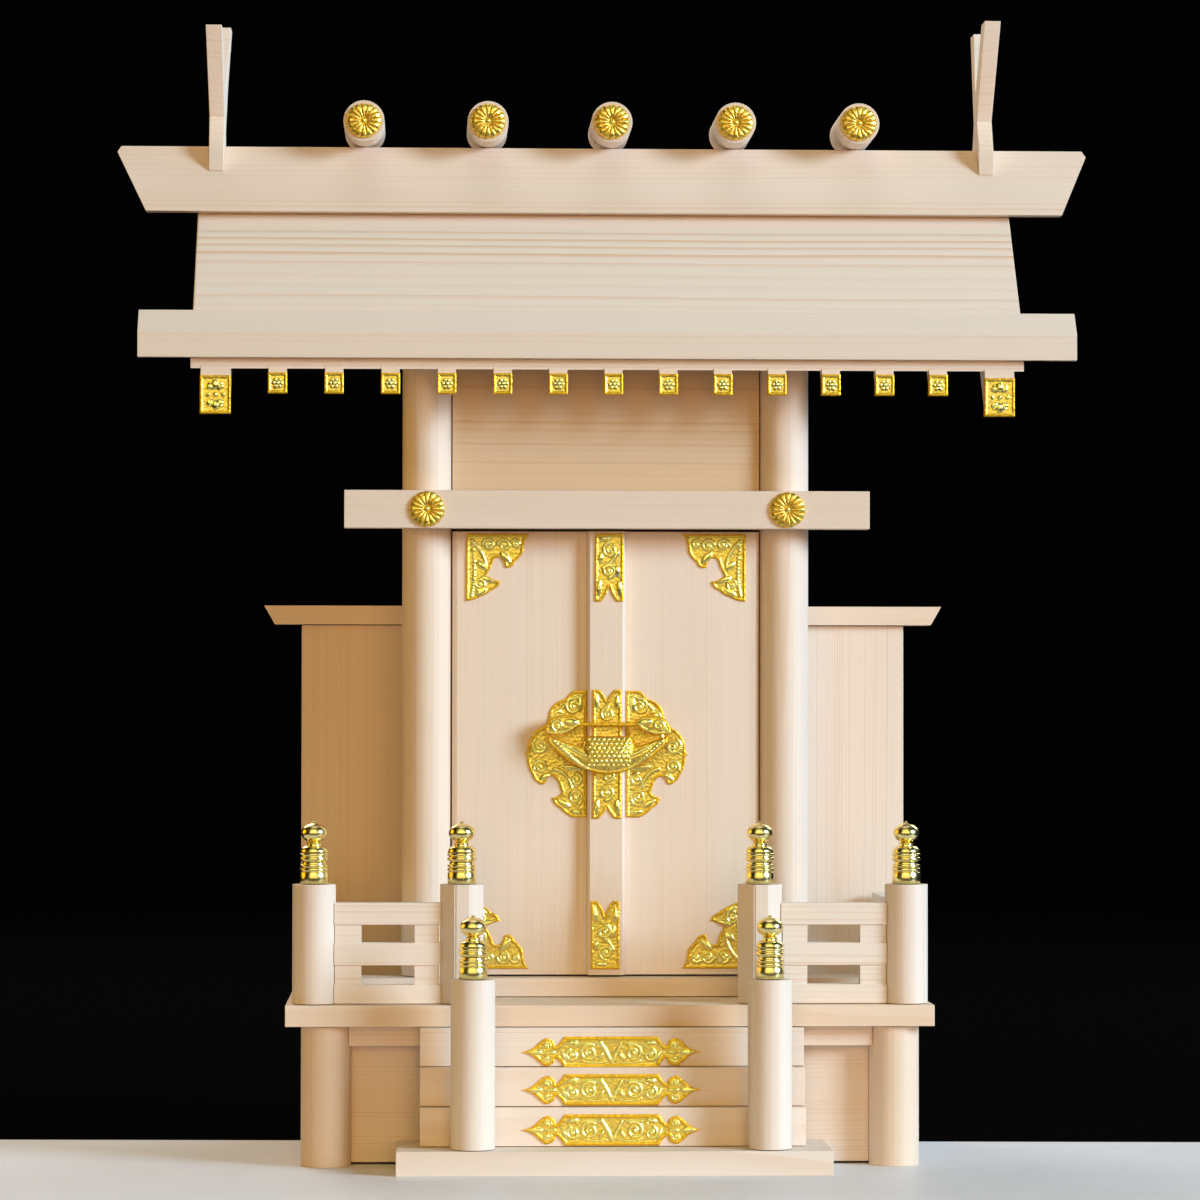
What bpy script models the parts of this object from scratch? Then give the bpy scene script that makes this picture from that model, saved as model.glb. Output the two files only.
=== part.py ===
"""Household Shinto shrine (kamidana): plain cypress joinery with gilt post finials.

X runs left to right, Y from the steps at the front to the back wall, Z up from the shelf that
the shrine stands on.  Sizes are in millimetres.  Depths are measured back from the front edge
of the veranda floor; they are centred, and everything is turned into metres, as each mesh is
stored.
"""

import math

import bmesh
import bpy
import numpy
from mathutils import Matrix, Vector

MM = 0.001
GAP = 0.3                      # left between neighbouring pieces
PAST = 1.0                     # how far a cutter runs past what it cuts
ROUND_SIDES = 32               # facets round a post
FINIAL_SIDES = 16              # facets round a finial

# Base board and steps
BASE_HALF = 89.0
BASE_FRONT = -33.5
BASE_TOP = 10.0
STEP_HALF = 79.3
STEP_RISE = 16.0
STEP_FRONTS = (-14.0, -9.0, -4.0)
STEP_NAMES = ("step_lower", "step_middle", "step_upper")
STEP_TOP = BASE_TOP + len(STEP_FRONTS) * STEP_RISE

# Under the floor
LEG_RADIUS = 10.45
LEG_X = 118.3
LEG_Y = 13.0
REAR_LEG_Y = 152.0
RAIL_FRONT = 8.0               # head rail under the floor's front edge
RAIL_LOW = 49.8
PANEL_FRONT = 16.0
PANEL_THICK = 5.0
PANEL_LIFT = 1.0               # the panels hang clear of the shelf
REAR_PANEL_DROP = 0.5          # the rear panel stops this far under the rear legs' tops

# Veranda floor, its posts and balustrades
FLOOR_ENDS = (-135.0, 134.0)
FLOOR_DEPTH = 165.0
FLOOR_LOW = STEP_TOP
FLOOR_TOP = 67.0
POST_RADIUS = 9.0
POST_TOP = 116.7
POST_Y = 12.0                  # corner posts and veranda newels stand on this line
CORNER_X = 123.4
NEWEL_X = 62.1
NEWEL_CHAMFER = 6.0            # the newels are squares with their corners planed off
NEWEL_GROOVE = 0.7             # width of the groove beside the left front corner
STAIR_RADIUS = 9.1
STAIR_X = 60.7
STAIR_Y = -23.7
STAIR_SHIFT = 3.0              # the stair newels stand a little right of the middle
STAIR_TOP = 79.2
BALUSTER_THICK = 8.0
BALUSTER_TOP = 109.0
SLOT_HEIGHTS = ((75.1, 83.2), (92.4, 100.0))
SLOT_LENGTH = 22.0
SIDE_SLOTS = 2                 # slots along each side balustrade
BLOCK_RECESS = 0.7             # the blocks between the rails lie this far behind the rails' faces

# Finials, from the foot up: (radius, height above the post)
FINIAL_BASE = ((5.9, 0.0), (5.9, 4.6), (5.5, 4.9), (6.0, 5.4), (6.0, 6.4), (5.6, 6.8), (5.9, 7.8))
FINIAL_WAIST = ((5.2, 8.4), (5.2, 9.1))
FINIAL_COLLAR = ((6.0, 9.9), (6.0, 10.9), (5.6, 11.3), (6.05, 11.8), (6.05, 12.6))
FINIAL_NECK = (3.2, 16.2)
FINIAL_DOME_TOP = 15.6
FINIAL_DOME_STEPS = 4
FINIAL_BULB = 5.5
FINIAL_BULB_LOW = 17.0
FINIAL_BULB_HIGH = 25.0
FINIAL_BULB_STEPS = 8
FINIAL_NIPPLE = 0.9            # radius at the foot of the point on top
FINIAL_TOP = 26.0

# Sanctuary: pillars, walls, doors and tie beam
PILLAR_RADIUS = 10.55
PILLAR_X = 76.9
PILLAR_Y = 72.5
WALL_THICK = 6.0
WALL_BACK = 158.0
THRESHOLD_FRONT = 54.0         # it runs under both pillars, back to their rear
THRESHOLD_TOP = 75.0
DOOR_LOW = 75.8
DOOR_TOP = 265.8
DOOR_FRONT = 68.0
DOOR_THICK = 5.5
DOOR_MEETING = 0.3             # half the gap between the two leaves
STRIP_HALF = 8.0
STRIP_THICK = 4.4
STRIP_EASE = 1.0               # planed-off front corners of the meeting strip
PANEL_ABOVE_FRONT = 70.0
BEAM_HALF = 112.1
BEAM_FRONT = 52.0
BEAM_LOW = 266.6
BEAM_TOP = 282.7

# Door lock, drawn from the front about its own middle
LOCK_Z = 171.0
LOCK_THICK = 5.6
LOCK_HALF = 25.8
LOCK_STEPS = 12
LOCK_END = (4.2, 7.4)          # the boat-shaped body's lower and upper edge at its ends
LOCK_KEEL = -9.2               # lowest point of its lower edge
LOCK_SADDLE = 1.4              # lowest point of its upper edge
LEAF_ROOT = (26.0, 6.6)        # the leaves rise from the body's ends to the bar between them
LEAF_TIP = (10.0, 13.6)
LEAF_HALF_WIDTH = 3.3
LEAF_INSET = 0.7
BAR_HALF = 13.0
BAR_HEIGHTS = (11.0, 12.8)
BAR_INSET = 1.6
DRUM_HALF = 10.0
DRUM_RADIUS = 7.0
DRUM_DROP = 1.5                # the drum's axis lies this far under the lock's middle
DRUM_PROUD = 2.9               # and this far behind the body's front face
DRUM_SIDES = 18

# Side screens
WING_OUTER = {"left": 131.9, "right": 133.8}
WING_FRONT = 122.0
WING_TOP = 226.4
WING_CAP_TOP = 234.9
WING_CAP_FRONT = 118.0
WING_CAP_DEPTH = 14.0
WING_CAP_ENDS = {"left": (143.7, 148.4), "right": (145.6, 150.3)}  # ends of its lower and upper edges

# Roof
SLOPE = math.radians(50.0)
RIDGE_Y = 106.0
EAVE_FRONT = 38.0
EAVE_DEPTH = 8.0
EAVE_LOW = 338.0
EAVE_ARRIS = 349.1
EAVE_HALF = 199.2
ROOF_HALF = 176.0
ROOF_THICK = 10.0
REAR_EAVE = 162.0               # the rear slope is cut off here, so that the back stands against a wall
FASCIA_LOW = 344.0              # lower edge of the board that closes the rear slope
UNDER_FRONT = 42.0              # the thin boards under the planks
UNDER_HALF = 177.0
UNDER_THICK = 2.85
RAFTER_WIDTH = 7.7
RAFTER_LOW = 322.9
RAFTER_FRONT = 40.6
RAFTER_COUNT = 13
RAFTER_SPAN = 140.2            # the outermost rafters' places each side of the middle
RAFTER_DRIFT = 2.0             # the rafters between them drift this far to the right
END_BEAM = (160.1, 172.7)
END_BEAM_LOW = 314.2
RIDGE_BOARD_THICK = 5.0
RIDGE_BOARD_LOW = 404.1
REAR_RIDGE_BOARD_LOW = 410.0   # the rear board is narrower
RIDGE_BOARD_UNDERCUT = 0.2     # its lower edge is planed back nearly level, with this much fall
RIDGE_BOARD_ENDS = (198.3, 212.2, 210.6)  # half-lengths: lower edge, widest, upper edge
RIDGE_BOARD_CORNER = 2.8
RIDGE_TOP = 435.2

# On the ridge
BILLET_RADIUS = 8.9
BILLET_COUNT = 5
BILLET_PITCH = 53.8
BILLET_SHIFT = 3.0             # the row of billets sits a little right of the middle
BILLET_HALF = 22.0
CHIGI_X = {"left": -168.8, "right": 167.3}
CHIGI_WIDTHS = (6.3, 7.0)      # at the foot and at the top
CHIGI_THICK = 10.5
CHIGI_LEAN = math.radians(27.0)
CHIGI_CROSS = 447.8
CHIGI_TOPS = {"left": (485.3, 490.1), "right": (488.9, 489.4)}  # heights of the front and the rear arm
CHIGI_LEANS = {"left": (-0.75, 1.45), "right": (1.2, 1.45)}  # how far to the right each arm's top stands
CHIGI_FOOT = 13.0              # the lower ends are cut off this far from the ridge line

MIDDLE_Y = (BASE_FRONT + FLOOR_DEPTH) / 2.0


def clear_scene():
    for item in list(bpy.data.objects):
        bpy.data.objects.remove(item, do_unlink=True)


def make_material(name, colour, roughness, metallic):
    material = bpy.data.materials.new(name)
    material.use_nodes = True
    shader = material.node_tree.nodes["Principled BSDF"]
    shader.inputs["Base Color"].default_value = (*colour, 1.0)
    shader.inputs["Roughness"].default_value = roughness
    shader.inputs["Metallic"].default_value = metallic
    material.diffuse_color = (*colour, 1.0)
    return material


def store(name, mesh_data, material, smooth=False):
    """Turn millimetres into metres, centre the depth and link the finished object."""
    bmesh.ops.recalc_face_normals(mesh_data, faces=mesh_data.faces)
    bmesh.ops.translate(mesh_data, verts=mesh_data.verts, vec=(0.0, -MIDDLE_Y, 0.0))
    bmesh.ops.scale(mesh_data, verts=mesh_data.verts, vec=(MM, MM, MM))
    mesh = bpy.data.meshes.new(name)
    mesh_data.to_mesh(mesh)
    mesh_data.free()
    if smooth:
        mesh.shade_smooth()
        mesh.set_sharp_from_angle(angle=math.radians(35.0))
    item = bpy.data.objects.new(name, mesh)
    if material is not None:
        mesh.materials.append(material)
    bpy.context.scene.collection.objects.link(item)
    return item


# ---- shapes, all in millimetres ----

def prism(outline, axis, low, high):
    """A straight bar of the given outline, running from low to high along one axis."""
    places = {
        "x": lambda point, along: (along, point[0], point[1]),
        "y": lambda point, along: (point[0], along, point[1]),
        "z": lambda point, along: (point[0], point[1], along),
    }
    data = bmesh.new()
    first = [data.verts.new(places[axis](point, low)) for point in outline]
    last = [data.verts.new(places[axis](point, high)) for point in outline]
    data.faces.new(first)
    data.faces.new(list(reversed(last)))
    for index in range(len(outline)):
        after = (index + 1) % len(outline)
        data.faces.new((first[index], first[after], last[after], last[index]))
    return data


def board(x, y, z):
    return prism(((x[0], y[0]), (x[1], y[0]), (x[1], y[1]), (x[0], y[1])), "z", z[0], z[1])


def join(pieces):
    """Put several separate shapes into one mesh."""
    whole = bmesh.new()
    for piece in pieces:
        mesh = bpy.data.meshes.new("piece")
        piece.to_mesh(mesh)
        piece.free()
        whole.from_mesh(mesh)
        bpy.data.meshes.remove(mesh)
    return whole


def circle(radius, centre, sides):
    turn = 2.0 * math.pi / sides
    return [(centre[0] + radius * math.cos(turn * step), centre[1] + radius * math.sin(turn * step))
            for step in range(sides)]


def post(radius, centre, low, high):
    return prism(circle(radius, centre, ROUND_SIDES), "z", low, high)


def turned(profile, centre, foot, sides):
    """A solid of revolution about an upright axis; the profile runs up from the foot."""
    data = bmesh.new()
    points = [(0.0, profile[0][1]), *profile]
    verts = [data.verts.new((centre[0] + radius, centre[1], foot + height)) for radius, height in points]
    edges = [data.edges.new(pair) for pair in zip(verts, verts[1:])]
    bmesh.ops.spin(data, geom=verts + edges, cent=(centre[0], centre[1], foot), axis=(0.0, 0.0, 1.0),
                   angle=2.0 * math.pi, steps=sides, use_merge=True)
    bmesh.ops.remove_doubles(data, verts=data.verts, dist=0.0005)
    return data


def combine(item, data, operation):
    """Cut a shape out of an object, or add it on, with a modifier."""
    tool = store(item.name + "_" + operation.lower(), data, None)
    tool.hide_render = True
    tool.display_type = "WIRE"
    change = item.modifiers.new(operation.title(), "BOOLEAN")
    change.operation = operation
    change.solver = "EXACT"
    change.object = tool


# ---- outlines ----

def newel_outline(centre, grow=0.0):
    """Eight-sided section, with a narrow groove beside the left front corner when not grown."""
    half = POST_RADIUS + grow
    flat = half - NEWEL_CHAMFER
    corners = ((-flat, -half), (flat, -half), (half, -flat), (half, flat),
               (flat, half), (-flat, half), (-half, flat), (-half, -flat))
    points = list(corners)
    if grow == 0.0:
        points[:1] = ((-flat, -half), (-flat + NEWEL_GROOVE / 2.0, -half + NEWEL_GROOVE),
                      (-flat + NEWEL_GROOVE, -half))
    return [(centre[0] + x, centre[1] + y) for x, y in points]


def roof_height(depth, lift=0.0):
    """Height of the roof boards' upper face at a depth, or of a face lifted square off it."""
    run = abs(depth - RIDGE_Y)
    crest = EAVE_FRONT + EAVE_DEPTH
    rise = (RIDGE_Y - crest - run) * math.tan(SLOPE)
    return EAVE_ARRIS + EAVE_DEPTH * math.tan(SLOPE) + rise + lift / math.cos(SLOPE)


def under_height(depth, lift=0.0):
    """Height of the lower face of the thin boards under the planks."""
    return roof_height(depth, lift - ROOF_THICK - GAP - UNDER_THICK)


def back_of(outline):
    """The same section on the rear slope."""
    return [(2.0 * RIDGE_Y - depth, height) for depth, height in outline]


def finial_profile():
    """Ringed foot, dark waist, domed shoulder, neck and a bulb that ends in a small point."""
    profile = [*FINIAL_BASE, *FINIAL_WAIST, *FINIAL_COLLAR]
    shoulder_radius, shoulder_low = FINIAL_COLLAR[-1]
    neck_radius = FINIAL_NECK[0]
    for step in range(1, FINIAL_DOME_STEPS + 1):
        turn = 0.5 * math.pi * step / FINIAL_DOME_STEPS
        radius = neck_radius + (shoulder_radius - neck_radius) * math.cos(turn)
        height = shoulder_low + (FINIAL_DOME_TOP - shoulder_low) * math.sin(turn)
        profile.append((radius, height))
    profile.append(FINIAL_NECK)
    middle = (FINIAL_BULB_LOW + FINIAL_BULB_HIGH) / 2.0
    half = (FINIAL_BULB_HIGH - FINIAL_BULB_LOW) / 2.0
    for step in range(1, FINIAL_BULB_STEPS):
        turn = math.pi * step / FINIAL_BULB_STEPS
        profile.append((max(FINIAL_BULB * math.sin(turn), FINIAL_NIPPLE), middle - half * math.cos(turn)))
    profile.append((0.0, FINIAL_TOP))
    return profile


def lock_body_outline():
    """A boat seen from the side: both edges are parabolas, and both ends are cut square."""
    end_low, end_high = LOCK_END
    edges = ((end_low, LOCK_KEEL, 1), (end_high, LOCK_SADDLE, -1))
    points = []
    for end, middle, way in edges:
        for step in range(LOCK_STEPS + 1):
            across = way * (2.0 * step / LOCK_STEPS - 1.0)
            points.append((LOCK_HALF * across, middle + (end - middle) * across ** 2))
    return points


def leaf_outline(side):
    """A lens-shaped leaf from its root at the end of the lock's body to its tip over the bar."""
    root = Vector((side * LEAF_ROOT[0], LEAF_ROOT[1]))
    tip = Vector((side * LEAF_TIP[0], LEAF_TIP[1]))
    along = tip - root
    across = Vector((-along.y, along.x)).normalized()
    points = []
    for way in (1, -1):
        for step in range(LOCK_STEPS):
            share = step / LOCK_STEPS if way > 0 else 1.0 - step / LOCK_STEPS
            spot = root + along * share + across * way * LEAF_HALF_WIDTH * math.sin(math.pi * share)
            points.append((spot.x, spot.y))
    return points


# ---- groups of pieces ----

def build_base(wood):
    back = PANEL_FRONT - GAP
    store("base_board", board((-BASE_HALF, BASE_HALF), (BASE_FRONT, back), (0.0, BASE_TOP)), wood)
    for level, (name, front) in enumerate(zip(STEP_NAMES, STEP_FRONTS)):
        low = BASE_TOP + level * STEP_RISE + GAP
        high = BASE_TOP + (level + 1) * STEP_RISE
        store(name, board((-STEP_HALF, STEP_HALF), (front, RAIL_FRONT - GAP), (low, high)), wood)


def build_underfloor(wood):
    high = FLOOR_LOW
    reach = LEG_X - PANEL_THICK
    panel_back = PANEL_FRONT + PANEL_THICK
    leg_holes = [post(LEG_RADIUS + GAP, (side * LEG_X, LEG_Y), -PAST, high + PAST) for side in (-1, 1)]
    section = ((RAIL_FRONT, RAIL_LOW), (RAIL_FRONT, high), (panel_back, high),
               (panel_back, PANEL_LIFT), (PANEL_FRONT, PANEL_LIFT), (PANEL_FRONT, RAIL_LOW))
    front = store("underfloor_front", prism(section, "x", -reach, reach), wood)
    combine(front, join(leg_holes), "DIFFERENCE")

    half = PANEL_THICK / 2.0
    for side, name in ((-1, "left"), (1, "right")):
        middle = side * LEG_X
        store("leg_front_" + name, post(LEG_RADIUS, (middle, LEG_Y), 0.0, high), wood, smooth=True)
        flank = store("underfloor_" + name,
                      board((middle - half, middle + half), (LEG_Y, REAR_LEG_Y), (PANEL_LIFT, high)), wood)
        holes = [post(LEG_RADIUS + GAP, (middle, depth), -PAST, high + PAST)
                 for depth in (LEG_Y, REAR_LEG_Y)]
        combine(flank, join(holes), "DIFFERENCE")

    rear = store("underfloor_back",
                 board((-LEG_X, LEG_X), (REAR_LEG_Y - half, REAR_LEG_Y + half),
                       (PANEL_LIFT, high - REAR_PANEL_DROP)), wood, smooth=True)
    rear_legs = [post(LEG_RADIUS, (side * LEG_X, REAR_LEG_Y), 0.0, high) for side in (-1, 1)]
    combine(rear, join(rear_legs), "UNION")


def build_veranda(wood):
    low = FLOOR_LOW + GAP
    store("veranda_floor", board(FLOOR_ENDS, (0.0, FLOOR_DEPTH), (low, FLOOR_TOP)), wood)
    foot = FLOOR_TOP + GAP
    for side, name in ((-1, "left"), (1, "right")):
        corner = post(POST_RADIUS, (side * CORNER_X, POST_Y), foot, POST_TOP)
        store("corner_post_" + name, corner, wood, smooth=True)
        newel = prism(newel_outline((side * NEWEL_X, POST_Y)), "z", foot, POST_TOP)
        store("veranda_newel_" + name, newel, wood)
        stair = post(STAIR_RADIUS, (side * STAIR_X + STAIR_SHIFT, STAIR_Y), BASE_TOP + GAP, STAIR_TOP)
        store("stair_newel_" + name, stair, wood, smooth=True)


def build_finials(gilt):
    spots = {"corner_finial": (CORNER_X, 0.0, POST_Y, POST_TOP),
             "newel_finial": (NEWEL_X, 0.0, POST_Y, POST_TOP),
             "stair_finial": (STAIR_X, STAIR_SHIFT, STAIR_Y, STAIR_TOP)}
    for kind, (offset, shift, depth, top) in spots.items():
        for side, name in ((-1, "left"), (1, "right")):
            shape = turned(finial_profile(), (side * offset + shift, depth), top + GAP, FINIAL_SIDES)
            store(kind + "_" + name, shape, gilt, smooth=True)


def slot_cuts(middle, centres, run, reach):
    """Cutters for a balustrade: a slot through it at each centre, and the blocks set back on both faces.

    middle is the balustrade's own middle plane, run the stretch of rail, and each cutter is given
    as its extent along the rail, across it, and in height.
    """
    half = BALUSTER_THICK / 2.0
    cuts = []
    for heights in SLOT_HEIGHTS:
        for centre in centres:
            along = (centre - SLOT_LENGTH / 2.0, centre + SLOT_LENGTH / 2.0)
            cuts.append((along, (middle - reach, middle + reach), heights))
        cuts.append((run, (middle - reach, middle - half + BLOCK_RECESS), heights))
        cuts.append((run, (middle + half - BLOCK_RECESS, middle + reach), heights))
    return cuts


def build_balustrades(wood):
    foot = FLOOR_TOP + GAP
    half = BALUSTER_THICK / 2.0
    rear_end = WING_CAP_FRONT
    for side, name in ((-1, "left"), (1, "right")):
        corner = (side * CORNER_X, POST_Y)
        corner_hole = post(POST_RADIUS + GAP, corner, foot - PAST, POST_TOP)
        ends = sorted((side * NEWEL_X, side * CORNER_X))
        front = store("balustrade_front_" + name,
                      board(ends, (POST_Y - half, POST_Y + half), (foot, BALUSTER_TOP)), wood)
        newel_hole = prism(newel_outline((side * NEWEL_X, POST_Y), GAP), "z", foot - PAST, POST_TOP)
        combine(front, join((corner_hole, newel_hole)), "DIFFERENCE")
        for along, across, heights in slot_cuts(POST_Y, [sum(ends) / 2.0], ends, half + PAST):
            combine(front, board(along, across, heights), "DIFFERENCE")

        middle = side * CORNER_X
        flank = store("balustrade_side_" + name,
                      board((middle - half, middle + half), (POST_Y, rear_end), (foot, BALUSTER_TOP)), wood)
        corner_hole = post(POST_RADIUS + GAP, corner, foot - PAST, POST_TOP)
        combine(flank, corner_hole, "DIFFERENCE")
        first = POST_Y + POST_RADIUS
        bay = (rear_end - first) / SIDE_SLOTS
        centres = [first + bay * (index + 0.5) for index in range(SIDE_SLOTS)]
        for along, across, heights in slot_cuts(middle, centres, (POST_Y, rear_end + PAST), half + PAST):
            combine(flank, board(across, along, heights), "DIFFERENCE")


def build_sanctuary(wood):
    foot = FLOOR_TOP + GAP
    inner = PILLAR_X - PILLAR_RADIUS - GAP
    pillar_front = PILLAR_Y - PILLAR_RADIUS
    wall_front = PILLAR_Y + PILLAR_RADIUS + GAP
    gabled = [(wall_front, foot), (wall_front, under_height(wall_front, -GAP)),
              (RIDGE_Y, under_height(RIDGE_Y, -GAP)), (WALL_BACK, under_height(WALL_BACK, -GAP)),
              (WALL_BACK, foot)]
    for side, name in ((-1, "left"), (1, "right")):
        middle = side * PILLAR_X
        pillar = post(PILLAR_RADIUS, (middle, PILLAR_Y), THRESHOLD_TOP + GAP,
                      under_height(pillar_front, -GAP))
        store("pillar_" + name, pillar, wood, smooth=True)
        wall = prism(gabled, "x", middle - WALL_THICK / 2.0, middle + WALL_THICK / 2.0)
        store("wall_" + name, wall, wood)
    between = PILLAR_X - WALL_THICK / 2.0 - GAP
    store("wall_back", board((-between, between), (WALL_BACK - WALL_THICK, WALL_BACK),
                             (foot, under_height(WALL_BACK, -GAP))), wood)
    store("front_panel", board((-inner, inner), (PANEL_ABOVE_FRONT, PANEL_ABOVE_FRONT + PANEL_THICK),
                               (BEAM_LOW + GAP, under_height(PANEL_ABOVE_FRONT, -GAP))), wood)
    store("threshold", board((-BEAM_HALF, BEAM_HALF), (THRESHOLD_FRONT, PILLAR_Y + PILLAR_RADIUS),
                             (foot, THRESHOLD_TOP)), wood)
    store("tie_beam", board((-BEAM_HALF, BEAM_HALF), (BEAM_FRONT, pillar_front - GAP),
                            (BEAM_LOW, BEAM_TOP)), wood)


def build_wings(wood):
    foot = FLOOR_TOP + GAP
    inner = PILLAR_X + WALL_THICK / 2.0 + GAP
    for side, name in ((-1, "left"), (1, "right")):
        store("wing_" + name, board(sorted((side * inner, side * WING_OUTER[name])),
                                    (WING_FRONT, WING_FRONT + WALL_THICK), (foot, WING_TOP)), wood)
        low = WING_TOP + GAP
        lower_end, upper_end = WING_CAP_ENDS[name]
        outline = ((side * inner, low), (side * lower_end, low),
                   (side * upper_end, WING_CAP_TOP), (side * inner, WING_CAP_TOP))
        cap = prism(outline, "y", WING_CAP_FRONT + GAP, WING_CAP_FRONT + WING_CAP_DEPTH)
        store("wing_cap_" + name, cap, wood)


def door_leaf(side, hinge, depth):
    """A leaf with a half-round hinge edge, so that it turns beside the pillar without binding."""
    radius = DOOR_THICK / 2.0
    quarter_steps = 4
    outline = [(side * DOOR_MEETING, depth + radius), (side * DOOR_MEETING, depth - radius)]
    for step in range(2 * quarter_steps + 1):
        turn = -0.5 * math.pi + 0.5 * math.pi * step / quarter_steps
        outline.append((side * (hinge + radius * math.cos(turn)), depth + radius * math.sin(turn)))
    return prism(outline, "z", DOOR_LOW, DOOR_TOP)


def lock_shapes(back):
    """The lock's body, and what is joined to it: the two leaves, the bar and the drum."""
    front = back - LOCK_THICK

    def raised(points):
        return [(x, LOCK_Z + height) for x, height in points]

    body = prism(raised(lock_body_outline()), "y", front, back)
    leaves = [prism(raised(leaf_outline(side)), "y", front + LEAF_INSET, back - LEAF_INSET)
              for side in (-1, 1)]
    bar = board((-BAR_HALF, BAR_HALF), (front + BAR_INSET, back - BAR_INSET),
                [LOCK_Z + height for height in BAR_HEIGHTS])
    drum = circle(DRUM_RADIUS, (front + DRUM_PROUD, LOCK_Z - DRUM_DROP), DRUM_SIDES)
    drum = [(min(depth, back - GAP), height) for depth, height in drum]
    return body, (join(leaves), bar, prism(drum, "x", -DRUM_HALF, DRUM_HALF))


def build_doors(wood, gilt):
    hinge = PILLAR_X - PILLAR_RADIUS - GAP - DOOR_THICK / 2.0
    depth = DOOR_FRONT + DOOR_THICK / 2.0
    hung = {}
    for side, name in ((-1, "left"), (1, "right")):
        leaf = store("door_" + name, door_leaf(side, hinge, depth), wood, smooth=True)
        hung[name] = [leaf]

    strip_front = DOOR_FRONT - GAP - STRIP_THICK
    strip_back = DOOR_FRONT - GAP
    ease = STRIP_EASE
    outline = ((-STRIP_HALF, strip_back), (-STRIP_HALF, strip_front + ease),
               (-STRIP_HALF + ease, strip_front), (STRIP_HALF - ease, strip_front),
               (STRIP_HALF, strip_front + ease), (STRIP_HALF, strip_back))
    strip = store("meeting_strip", prism(outline, "z", DOOR_LOW, DOOR_TOP), wood)

    body, additions = lock_shapes(strip_front - GAP)
    lock = store("door_lock", body, gilt)
    for shape in additions:
        combine(lock, shape, "UNION")
    hung["right"] += [strip, lock]

    for side, name in ((-1, "left"), (1, "right")):
        pivot = Vector((side * hinge, depth - MIDDLE_Y, 0.0)) * MM
        empty = bpy.data.objects.new("hinge_" + name, None)
        empty.location = pivot
        bpy.context.scene.collection.objects.link(empty)
        for item in hung[name]:
            tools = [change.object for change in item.modifiers]
            for part in (item, *tools):
                part.data.transform(Matrix.Translation(-pivot))
                part.parent = empty


def stick_section(low, reach):
    """A stick that rises under the front slope, from its square-cut front end back to reach."""
    bite = UNDER_FRONT + PAST
    return [(RAFTER_FRONT, low), (RAFTER_FRONT, under_height(RAFTER_FRONT)),
            (bite, under_height(bite, UNDER_THICK / 2.0)), (reach, under_height(reach, UNDER_THICK / 2.0)),
            (reach, low + (reach - RAFTER_FRONT) * math.tan(SLOPE))]


def build_under_boards(wood):
    """The thin boards under the planks.  The front one carries the rafters and the two end beams."""
    peak = RIDGE_Y - GAP / 2.0
    body_front = PILLAR_Y - PILLAR_RADIUS - GAP
    body_half = PILLAR_X + PILLAR_RADIUS + GAP

    def section(toe):
        return [(toe, under_height(toe)), (toe, under_height(toe, UNDER_THICK)),
                (peak, under_height(peak, UNDER_THICK)), (peak, under_height(peak))]

    front = store("roof_base", prism(section(UNDER_FRONT), "x", -UNDER_HALF, UNDER_HALF), wood)
    rear_toe = 2.0 * RIDGE_Y - REAR_EAVE
    store("roof_base_back", prism(back_of(section(rear_toe)), "x", -UNDER_HALF, UNDER_HALF), wood)
    sticks = []
    for index in range(RAFTER_COUNT):
        share = index / (RAFTER_COUNT - 1)
        middle = -RAFTER_SPAN + 2.0 * RAFTER_SPAN * share + RAFTER_DRIFT * math.sin(math.pi * share)
        across = (middle - RAFTER_WIDTH / 2.0, middle + RAFTER_WIDTH / 2.0)
        meets_body = min(abs(across[0]), abs(across[1])) < body_half
        sticks.append(prism(stick_section(RAFTER_LOW, body_front if meets_body else peak), "x", *across))
    for side in (-1, 1):
        across = sorted((side * END_BEAM[0], side * END_BEAM[1]))
        sticks.append(prism(stick_section(END_BEAM_LOW, peak), "x", *across))
    combine(front, join(sticks), "UNION")


def ridge_board(section):
    """A bar of the given section whose ends flare upwards and are cut back at the top corners."""
    low_half, wide_half, top_half = RIDGE_BOARD_ENDS
    corner = RIDGE_TOP - RIDGE_BOARD_CORNER
    data = prism(section, "x", -wide_half, wide_half)
    bmesh.ops.bisect_plane(data, geom=[*data.verts, *data.edges, *data.faces],
                           plane_co=(0.0, 0.0, corner), plane_no=(0.0, 0.0, 1.0))
    for vert in data.verts:
        half = numpy.interp(vert.co.z, (RIDGE_BOARD_LOW, corner, RIDGE_TOP), (low_half, wide_half, top_half))
        vert.co.x = math.copysign(half, vert.co.x)
    return data


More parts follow.
